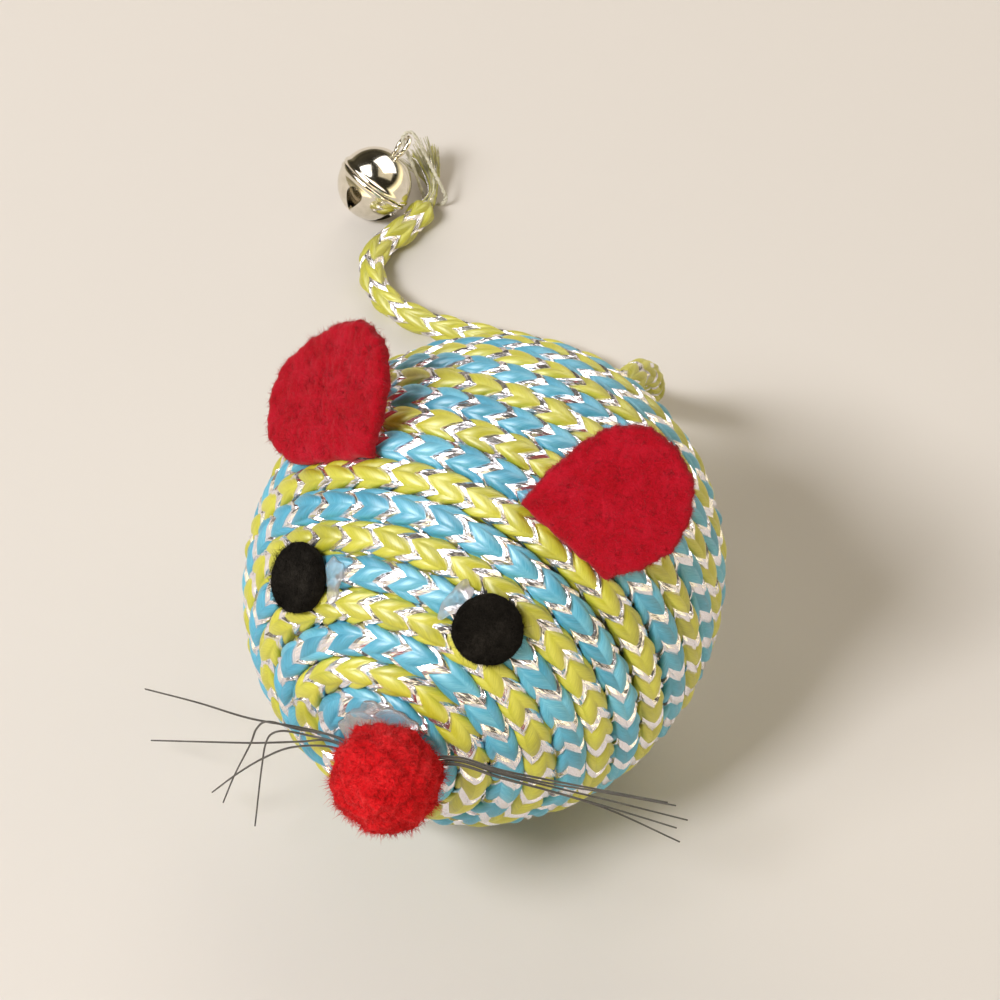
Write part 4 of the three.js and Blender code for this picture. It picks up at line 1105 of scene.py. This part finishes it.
def make_eye(side_name, seed):
    rng = np.random.default_rng(seed)
    foot = onto_body(EYES[side_name], 0.15)
    ax, ay, n = basis(hull_normal(foot))
    prof = [[0.0, -0.3], [1.8, -0.3], [3.6, -0.3], [4.05, -0.15], [4.16, 0.2], [4.2, 0.6], [4.16, 1.0], [4.02, 1.3], [3.8, 1.46], [3.5, 1.52], [3.0, 1.55], [2.4, 1.57], [1.8, 1.58], [1.2, 1.59], [0.6, 1.59], [0.0, 1.59]]
    v, q, qt = lathe(prof, 90)
    r = np.hypot(v[:, 0], v[:, 1])
    ang = np.arctan2(v[:, 1], v[:, 0])
    edge = 1 + (0.012 * np.sin(3 * ang + seed) + 0.008 * np.sin(7 * ang + 1) + 0.006 * np.sin(17 * ang)) * (r > 2)
    v[:, :2] *= edge[:, None]
    v[:, 2] += 0.05 * wobble(v * [1, 1, 0.3], 1.6, seed) * (v[:, 2] > 1.0)
    W = foot + v[:, :1] * ax + v[:, 1:2] * ay + v[:, 2:3] * n
    nv = len(W)
    k = 1300
    a = rng.uniform(0, 2 * math.pi, k)
    rr = 4.1 * np.sqrt(rng.uniform(0.0, 1.0, k))
    root = foot + (rr * np.cos(a))[:, None] * ax + (rr * np.sin(a))[:, None] * ay + 1.5 * n
    b = rng.uniform(0, 2 * math.pi, k)
    d = np.cos(b)[:, None] * ax + np.sin(b)[:, None] * ay + n * rng.uniform(0.1, 0.5, k)[:, None]
    hv, hq, ht, _ = fibres(root, d, rng.uniform(0.4, 1.0, k), rng.normal(0, 0.35, (k, 3)), 0.025, rng)
    k = 900
    a = rng.uniform(0, 2 * math.pi, k)
    out = np.cos(a)[:, None] * ax + np.sin(a)[:, None] * ay
    root = foot + out * 4.05 + n * rng.uniform(0.55, 1.45, k)[:, None]
    d = out + n * 0.25 + rng.normal(0, 0.45, (k, 3))
    rv, rq, rt, _ = fibres(root, d, rng.uniform(0.18, 0.42, k), rng.normal(0, 0.4, (k, 3)), 0.025, rng)
    ob = make(f"eye_felt_{side_name}", np.vstack([W, hv, rv]), [np.vstack([q, hq + nv, rq + nv + len(hv)]), np.vstack([qt, ht + nv, rt + nv + len(hv)])], [BLACK])
    outward(ob)
    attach(ob, "toy")
    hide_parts(f"eye_{side_name}")
    # glue squeezed out beside the disc, thin and uneven
    g = onto_body(EYE_GLUE[side_name], 0.4)
    away = g - foot
    away = unit(away - n * np.dot(away, n))
    c = onto_body(foot + away * (4.2 + 0.75), 0.0)
    cn = hull_normal(c)
    along = unit(np.cross(cn, away))
    across = np.cross(along, cn)
    v, q, qt = lathe(arc(1.0, 0.0, math.pi, 22), 48)
    ang = np.arctan2(v[:, 1], v[:, 0])
    v[:, :2] *= (1 + 0.12 * np.sin(3 * ang + seed) + 0.08 * np.sin(5 * ang + 2))[:, None]
    W = c + v[:, :1] * along * 2.7 + v[:, 1:2] * across * 1.25
    W = W + 0.16 * wobble(W, 2.2, seed + 3)[:, None] * cn + v[:, 2:3] * cn * 0.5
    ob = make(f"eye_glue_film_{side_name}", W, [q, qt], [GLUE_SMEAR])
    outward(ob)
    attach(ob, "toy")
    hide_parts(f"eye_glue_{side_name}")


make_eye("left", 51)
make_eye("right", 61)

# ------------------------------------------------------------------ pompom nose
NOSE_C = np.array([5.6, -35.3, 3.05])
NOSE_R = 6.9
NOSE_FOOT = onto_body(np.array([5.0, -30.3, 2.8]), 0)
NOSE_N = hull_normal(NOSE_FOOT)


def make_nose():
    rng = np.random.default_rng(71)
    ax, ay, n = basis(NOSE_N)
    segs, rows = 150, 90
    t = np.linspace(0.012, math.pi - 0.012, rows)
    a = np.arange(segs) * 2 * math.pi / segs
    d = np.stack([np.sin(t)[None, :] * np.cos(a)[:, None], np.sin(t)[None, :] * np.sin(a)[:, None], np.broadcast_to(np.cos(t)[None, :], (segs, rows))], -1).reshape(-1, 3)
    r = 6.35 + 0.34 * wobble(d * 6, 5.2, 72, 2) + 0.22 * wobble(d * 6, 2.1, 73, 2) + 0.10 * wobble(d * 6, 0.8, 74, 2)
    p = d * r[:, None]
    z = p[:, 2]
    p[:, 2] = np.where(z < -3.0, -3.0 - 0.35 * (1 - np.exp((z + 3.0) / 1.2)), z)
    W = NOSE_C + p[:, :1] * ax + p[:, 1:2] * ay + p[:, 2:3] * n
    i, j = np.meshgrid(np.arange(segs), np.arange(rows - 1), indexing="ij")
    q = np.stack([i * rows + j, i * rows + j + 1, ((i + 1) % segs) * rows + j + 1, ((i + 1) % segs) * rows + j], -1).reshape(-1, 4)
    ends = np.vstack([W.reshape(segs, rows, 3)[:, 0].mean(0), W.reshape(segs, rows, 3)[:, -1].mean(0)])
    kk = np.arange(segs)
    kt = np.vstack([np.stack([np.full(segs, segs * rows), kk * rows, ((kk + 1) % segs) * rows], -1),
                    np.stack([np.full(segs, segs * rows + 1), ((kk + 1) % segs) * rows + rows - 1, kk * rows + rows - 1], -1)])
    k = 10500
    idx = rng.integers(0, len(W), k)
    w = np.sqrt(np.clip(1 - d[idx, 2] ** 2, 0.02, 1))
    idx = idx[rng.uniform(0, 1, k) < w * 1.05]
    root = W[idx] + rng.normal(0, 0.10, (len(idx), 3))
    dw = d[idx, :1] * ax + d[idx, 1:2] * ay + d[idx, 2:3] * n
    lean = rng.normal(0, 0.75, (len(idx), 3))
    dirs = dw * 0.85 + lean
    hv, hq, ht, _ = fibres(root - dw * 0.15, dirs, rng.uniform(0.55, 1.15, len(idx)), rng.normal(0, 0.35, (len(idx), 3)), 0.04, rng)
    low = (hv - NOSE_C) @ n
    hv = hv + np.maximum(-3.4 - low, 0)[:, None] * n
    nv = len(W) + 2
    ob = make("nose_pompom_pile", np.vstack([W, ends, hv]), [np.vstack([q, hq + nv]), np.vstack([kt, ht + nv])], [NOSE_RED])
    outward(ob)
    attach(ob, "toy")
    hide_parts("nose_pompom")

    # film of glue between the pompom and the coils
    at = onto_body(np.array([2.2, -31.1, 3.9]), 0)
    gx, gy, gn = basis(hull_normal(at))
    rows, segs = 26, 90
    rr = np.linspace(0, 1, rows)[1:]
    a = np.arange(segs) * 2 * math.pi / segs
    rim = 4.9 + 0.35 * np.sin(2 * a + 0.6) + 0.3 * np.sin(5 * a + 1.1) + 0.18 * np.sin(9 * a) + 0.1 * np.sin(17 * a)
    P, H = [], []
    for s in (1, -1):
        for f in rr:
            P.append(np.stack([np.cos(a) * rim * f, np.sin(a) * rim * f], -1))
            H.append(np.full(segs, s * math.sqrt(max(1 - f ** 4, 0.0))))
    P, H = np.vstack(P), np.concatenate(H)
    q3 = onto_body(at + P[:, :1] * gx + P[:, 1:2] * gy, 0.0)
    nn = hull_normal(q3)
    W = q3 + nn * (0.05 + 0.55 * np.where(H > 0, H, 0.3 * H) + 0.12 * wobble(q3, 1.8, 77) * np.abs(H))[:, None]
    R = rows - 1
    q, t3 = [], []
    j = np.arange(segs)
    k2 = (j + 1) % segs
    for s, off in ((1, 0), (-1, R * segs)):
        for k in range(R - 1):
            a0, b0 = off + k * segs, off + (k + 1) * segs
            quad = np.stack([a0 + j, b0 + j, b0 + k2, a0 + k2], -1)
            q.append(quad if s == 1 else quad[:, ::-1])
        c = len(W)
        centre = onto_body(at, 0.6 if s == 1 else -0.1)
        W = np.vstack([W, centre])
        tri = np.stack([np.full(segs, c), off + j, off + k2], -1)
        t3.append(tri if s == 1 else tri[:, ::-1])
    ob = make("nose_glue_film", W, [np.vstack(q), np.vstack(t3)], [GLUE])
    tidy(ob, 1e-6)
    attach(ob, "toy")
    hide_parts("nose_glue")


make_nose()

# --------------------------------------------------------------------- whiskers
WHISKERS = [
    dict(left=[[-34.99, -22.69, -15.62], [-24.66, -26.79, -8.56], [-16.45, -29.15, -4.45], [-5.2, -31.45, 1.4]],
         h=1.2, mid=[[1.0, 2.34], [4.6, 2.88], [8.4, 3.45]],
         right=[[11.94, -29.32, 4.0], [16.55, -27.81, 2.7], [21.81, -25.78, 1.62], [27.36, -23.28, 0.24], [34.44, -19.55, -2.13]]),
    dict(left=[[-34.13, -23.43, -24.06], [-23.87, -27.4, -14.65], [-14.94, -29.85, -7.46], [-7.82, -31.23, -1.9], [-4.4, -31.5, 0.4]],
         h=1.2, mid=[[1.0, 1.42], [4.6, 2.03], [8.4, 2.68]],
         right=[[11.96, -29.36, 3.38], [16.57, -27.85, 2.0], [21.84, -25.82, 0.6], [28.04, -23.0, -1.48], [36.56, -18.36, -5.46]]),
    dict(left=[[-20.7, -29.12, -22.48], [-18.42, -29.76, -15.23], [-15.54, -30.46, -7.15], [-14.47, -30.7, -3.65], [-12.85, -31.04, -1.21], [-7.88, -31.95, 0.99], [-3.56, -32.1, 2.5]],
         h=1.82, mid=[[1.0, 2.95], [4.6, 3.3], [8.4, 3.8]],
         right=[[12.22, -29.9, 4.3], [16.82, -28.4, 3.1], [22.07, -26.45, 1.9], [27.82, -23.85, 0.7], [35.59, -19.7, -1.9]]),
    dict(left=[[-14.95, -31.4, -21.3], [-13.39, -31.73, -8.9], [-12.61, -31.88, -4.17], [-11.75, -32.05, -1.9], [-9.88, -32.3, 0.0], [-5.92, -32.4, 1.3], [-3.09, -32.3, 1.85]],
         h=1.82, mid=[[1.0, 2.2], [4.6, 2.62], [8.4, 3.12]],
         right=[[12.24, -29.95, 3.6], [16.84, -28.5, 2.3], [22.09, -26.5, 0.7], [28.28, -23.7, -1.8], [35.79, -19.7, -5.9]]),
    dict(left=[[-22.84, -28.08, -22.85], [-18.72, -29.0, -16.26], [-14.15, -30.1, -9.6], [-9.5, -31.0, -4.1], [-3.9, -31.5, -0.5]],
         h=1.2, mid=[[1.0, 0.6], [4.6, 1.3], [8.4, 2.05]],
         right=[[11.98, -29.41, 2.7], [16.59, -27.9, 1.35], [21.86, -25.86, -0.2], [27.87, -23.13, -2.9], [35.85, -18.83, -9.35]]),
]
for i, w in enumerate(WHISKERS):
    behind = [onto_body(np.array([x, -A * math.sqrt(1 - (x * x + z * z) / (B * B)), z]), w["h"]) for x, z in w["mid"]]
    line = catmull(w["left"] + behind + w["right"], per=14)
    t = np.linspace(-1, 1, len(line))
    rad = 0.135 - 0.035 * np.clip((np.abs(t) - 0.6) / 0.4, 0, 1)
    v, q, c = tube(line, rad, sides=8)
    ob = make(f"whisker_strand_{i + 1}", v, [q, c], [NYLON])
    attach(ob, "toy")
    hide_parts(f"whisker_{i + 1}")

# the hidden core keeps its CAD shape
for name in ("core_front_shell", "core_rear_shell"):
    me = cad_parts[name].data
    me.materials.clear()
    me.materials.append(CORE)

# ------------------------------------------------------------ floor, light, sky
floor_mat, nt, b = material("floor")
tc = node(nt, "ShaderNodeTexCoord")
n = node(nt, "ShaderNodeTexNoise")
n.inputs["Scale"].default_value = 2.0
nt.links.new(tc.outputs["Object"], n.inputs["Vector"])
nt.links.new(ramp(nt, n.outputs[0], [(0.3, (0.706, 0.674, 0.655)), (0.7, (0.716, 0.684, 0.667))]), b.inputs["Base Color"])
b.inputs["Roughness"].default_value = 0.9
b.inputs["Specular IOR Level"].default_value = 0.1
me = bpy.data.meshes.new("floor")
s = 1.6
me.from_pydata([(-s, -s, 0), (s, -s, 0), (s, s, 0), (-s, s, 0)], [], [(0, 1, 2, 3)])
me.materials.append(floor_mat)
floor = bpy.data.objects.new("floor", me)
bpy.context.scene.collection.objects.link(floor)


def area(name, where, size, power, colour, target=(0, 0, 0.03)):
    d = bpy.data.lights.new(name, "AREA")
    d.shape = "RECTANGLE"
    d.size, d.size_y = size
    d.energy = power
    d.color = colour
    o = bpy.data.objects.new(name, d)
    o.location = where
    v = Vector(target) - Vector(where)
    o.rotation_euler = v.to_track_quat("-Z", "Y").to_euler()
    bpy.context.scene.collection.objects.link(o)
    return o


AWAY = unit([-BACK[0], -BACK[1], 0])
MIDDLE = CENTRE / 1000


def toward(right, away, high, reach):
    d = unit(RIGHT * right + AWAY * away + np.array([0, 0, high]))
    return tuple(MIDDLE + d * reach)


def around(turned, raised, reach):
    """A place on the sphere of lights: turned from straight ahead (away from the
    camera) towards the right, and raised above the floor, in degrees."""
    a, e = math.radians(turned), math.radians(raised)
    return toward(math.sin(a) * math.cos(e), math.cos(a) * math.cos(e), math.sin(e), reach)


area("key", around(-135, 48, 1.25), (0.32, 0.32), 12.0, (1.0, 0.985, 0.965))
area("key_side", around(-115, 42, 1.25), (0.32, 0.32), 3.0, (1.0, 0.985, 0.93))
low_back = area("low_back", around(0, 20, 1.2), (1.0, 1.0), 9.8, (1.0, 0.88, 0.74))
low_left = area("low_left", around(-45, 20, 1.2), (1.0, 1.0), 2.5, (1.0, 0.94, 0.88))
area("side", around(85, 56, 1.2), (1.0, 1.0), 2.4, (1.0, 0.88, 0.66))
softbox = area("softbox", toward(0.50, 0.45, 0.75, 1.2), (1.15, 1.0), 9.5, (1.0, 0.99, 0.98))
overhead = area("overhead", toward(-0.48, -0.02, 0.85, 1.2), (0.85, 0.85), 9.0, (1.0, 0.99, 0.98))
low_back.visible_glossy = low_left.visible_glossy = False
softbox.visible_diffuse = overhead.visible_diffuse = False

world = bpy.data.worlds.new("studio")
bpy.context.scene.world = world
world.use_nodes = True
HEADINGS = (-RIGHT, -AWAY, RIGHT, AWAY)      # left, near, right, away


def sky(low, mid, top):
    """The room round the sweep. low and mid give the brightness near the horizon and
    half way up, each to the left, near, right and away; top is straight above."""
    nt = world.node_tree
    nt.nodes.clear()
    out = nt.nodes.new("ShaderNodeOutputWorld")
    bg = nt.nodes.new("ShaderNodeBackground")
    nt.links.new(bg.outputs[0], out.inputs[0])
    tc = nt.nodes.new("ShaderNodeTexCoord")
    sep = nt.nodes.new("ShaderNodeSeparateXYZ")
    nt.links.new(tc.outputs["Generated"], sep.inputs[0])
    flat = nt.nodes.new("ShaderNodeCombineXYZ")
    nt.links.new(sep.outputs[0], flat.inputs[0])
    nt.links.new(sep.outputs[1], flat.inputs[1])
    way = nt.nodes.new("ShaderNodeVectorMath")
    way.operation = "NORMALIZE"
    nt.links.new(flat.outputs[0], way.inputs[0])
    sums = [None, None]
    for k, d in enumerate(HEADINGS):
        dot = nt.nodes.new("ShaderNodeVectorMath")
        dot.operation = "DOT_PRODUCT"
        nt.links.new(way.outputs[0], dot.inputs[0])
        dot.inputs[1].default_value = tuple(d)
        lobe = mathn(nt, "POWER", mathn(nt, "MAXIMUM", dot.outputs["Value"], 0.0), 2.0)
        for band, level in enumerate((low[k], mid[k])):
            part = mathn(nt, "MULTIPLY", lobe, level)
            sums[band] = part if sums[band] is None else mathn(nt, "ADD", sums[band], part)

    def share(stops):
        r = nt.nodes.new("ShaderNodeValToRGB")
        r.color_ramp.elements.remove(r.color_ramp.elements[1])
        for i, (where, v) in enumerate(stops):
            el = r.color_ramp.elements[0] if i == 0 else r.color_ramp.elements.new(where)
            el.position, el.color = where, (v, v, v, 1)
        nt.links.new(sep.outputs[2], r.inputs[0])
        return r.outputs[0]

    total = mathn(nt, "MULTIPLY", sums[0], share([(0.12, 1.0), (0.34, 0.0)]))
    total = mathn(nt, "ADD", total, mathn(nt, "MULTIPLY", sums[1], share([(0.20, 0.0), (0.45, 1.0), (0.80, 0.0)])))
    total = mathn(nt, "ADD", total, mathn(nt, "MULTIPLY", share([(0.45, 0.0), (0.80, 1.0)]), float(top)))
    nt.links.new(total, bg.inputs[1])
    bg.inputs[0].default_value = (1.0, 0.87, 0.56, 1)


sky(low=(0.4, 2.9, 1.85, 0.12), mid=(0.08, 0.03, 0.03, 0.06), top=0.03)

bpy.context.scene.view_settings.view_transform = "Standard"
bpy.context.scene.view_settings.look = "None"
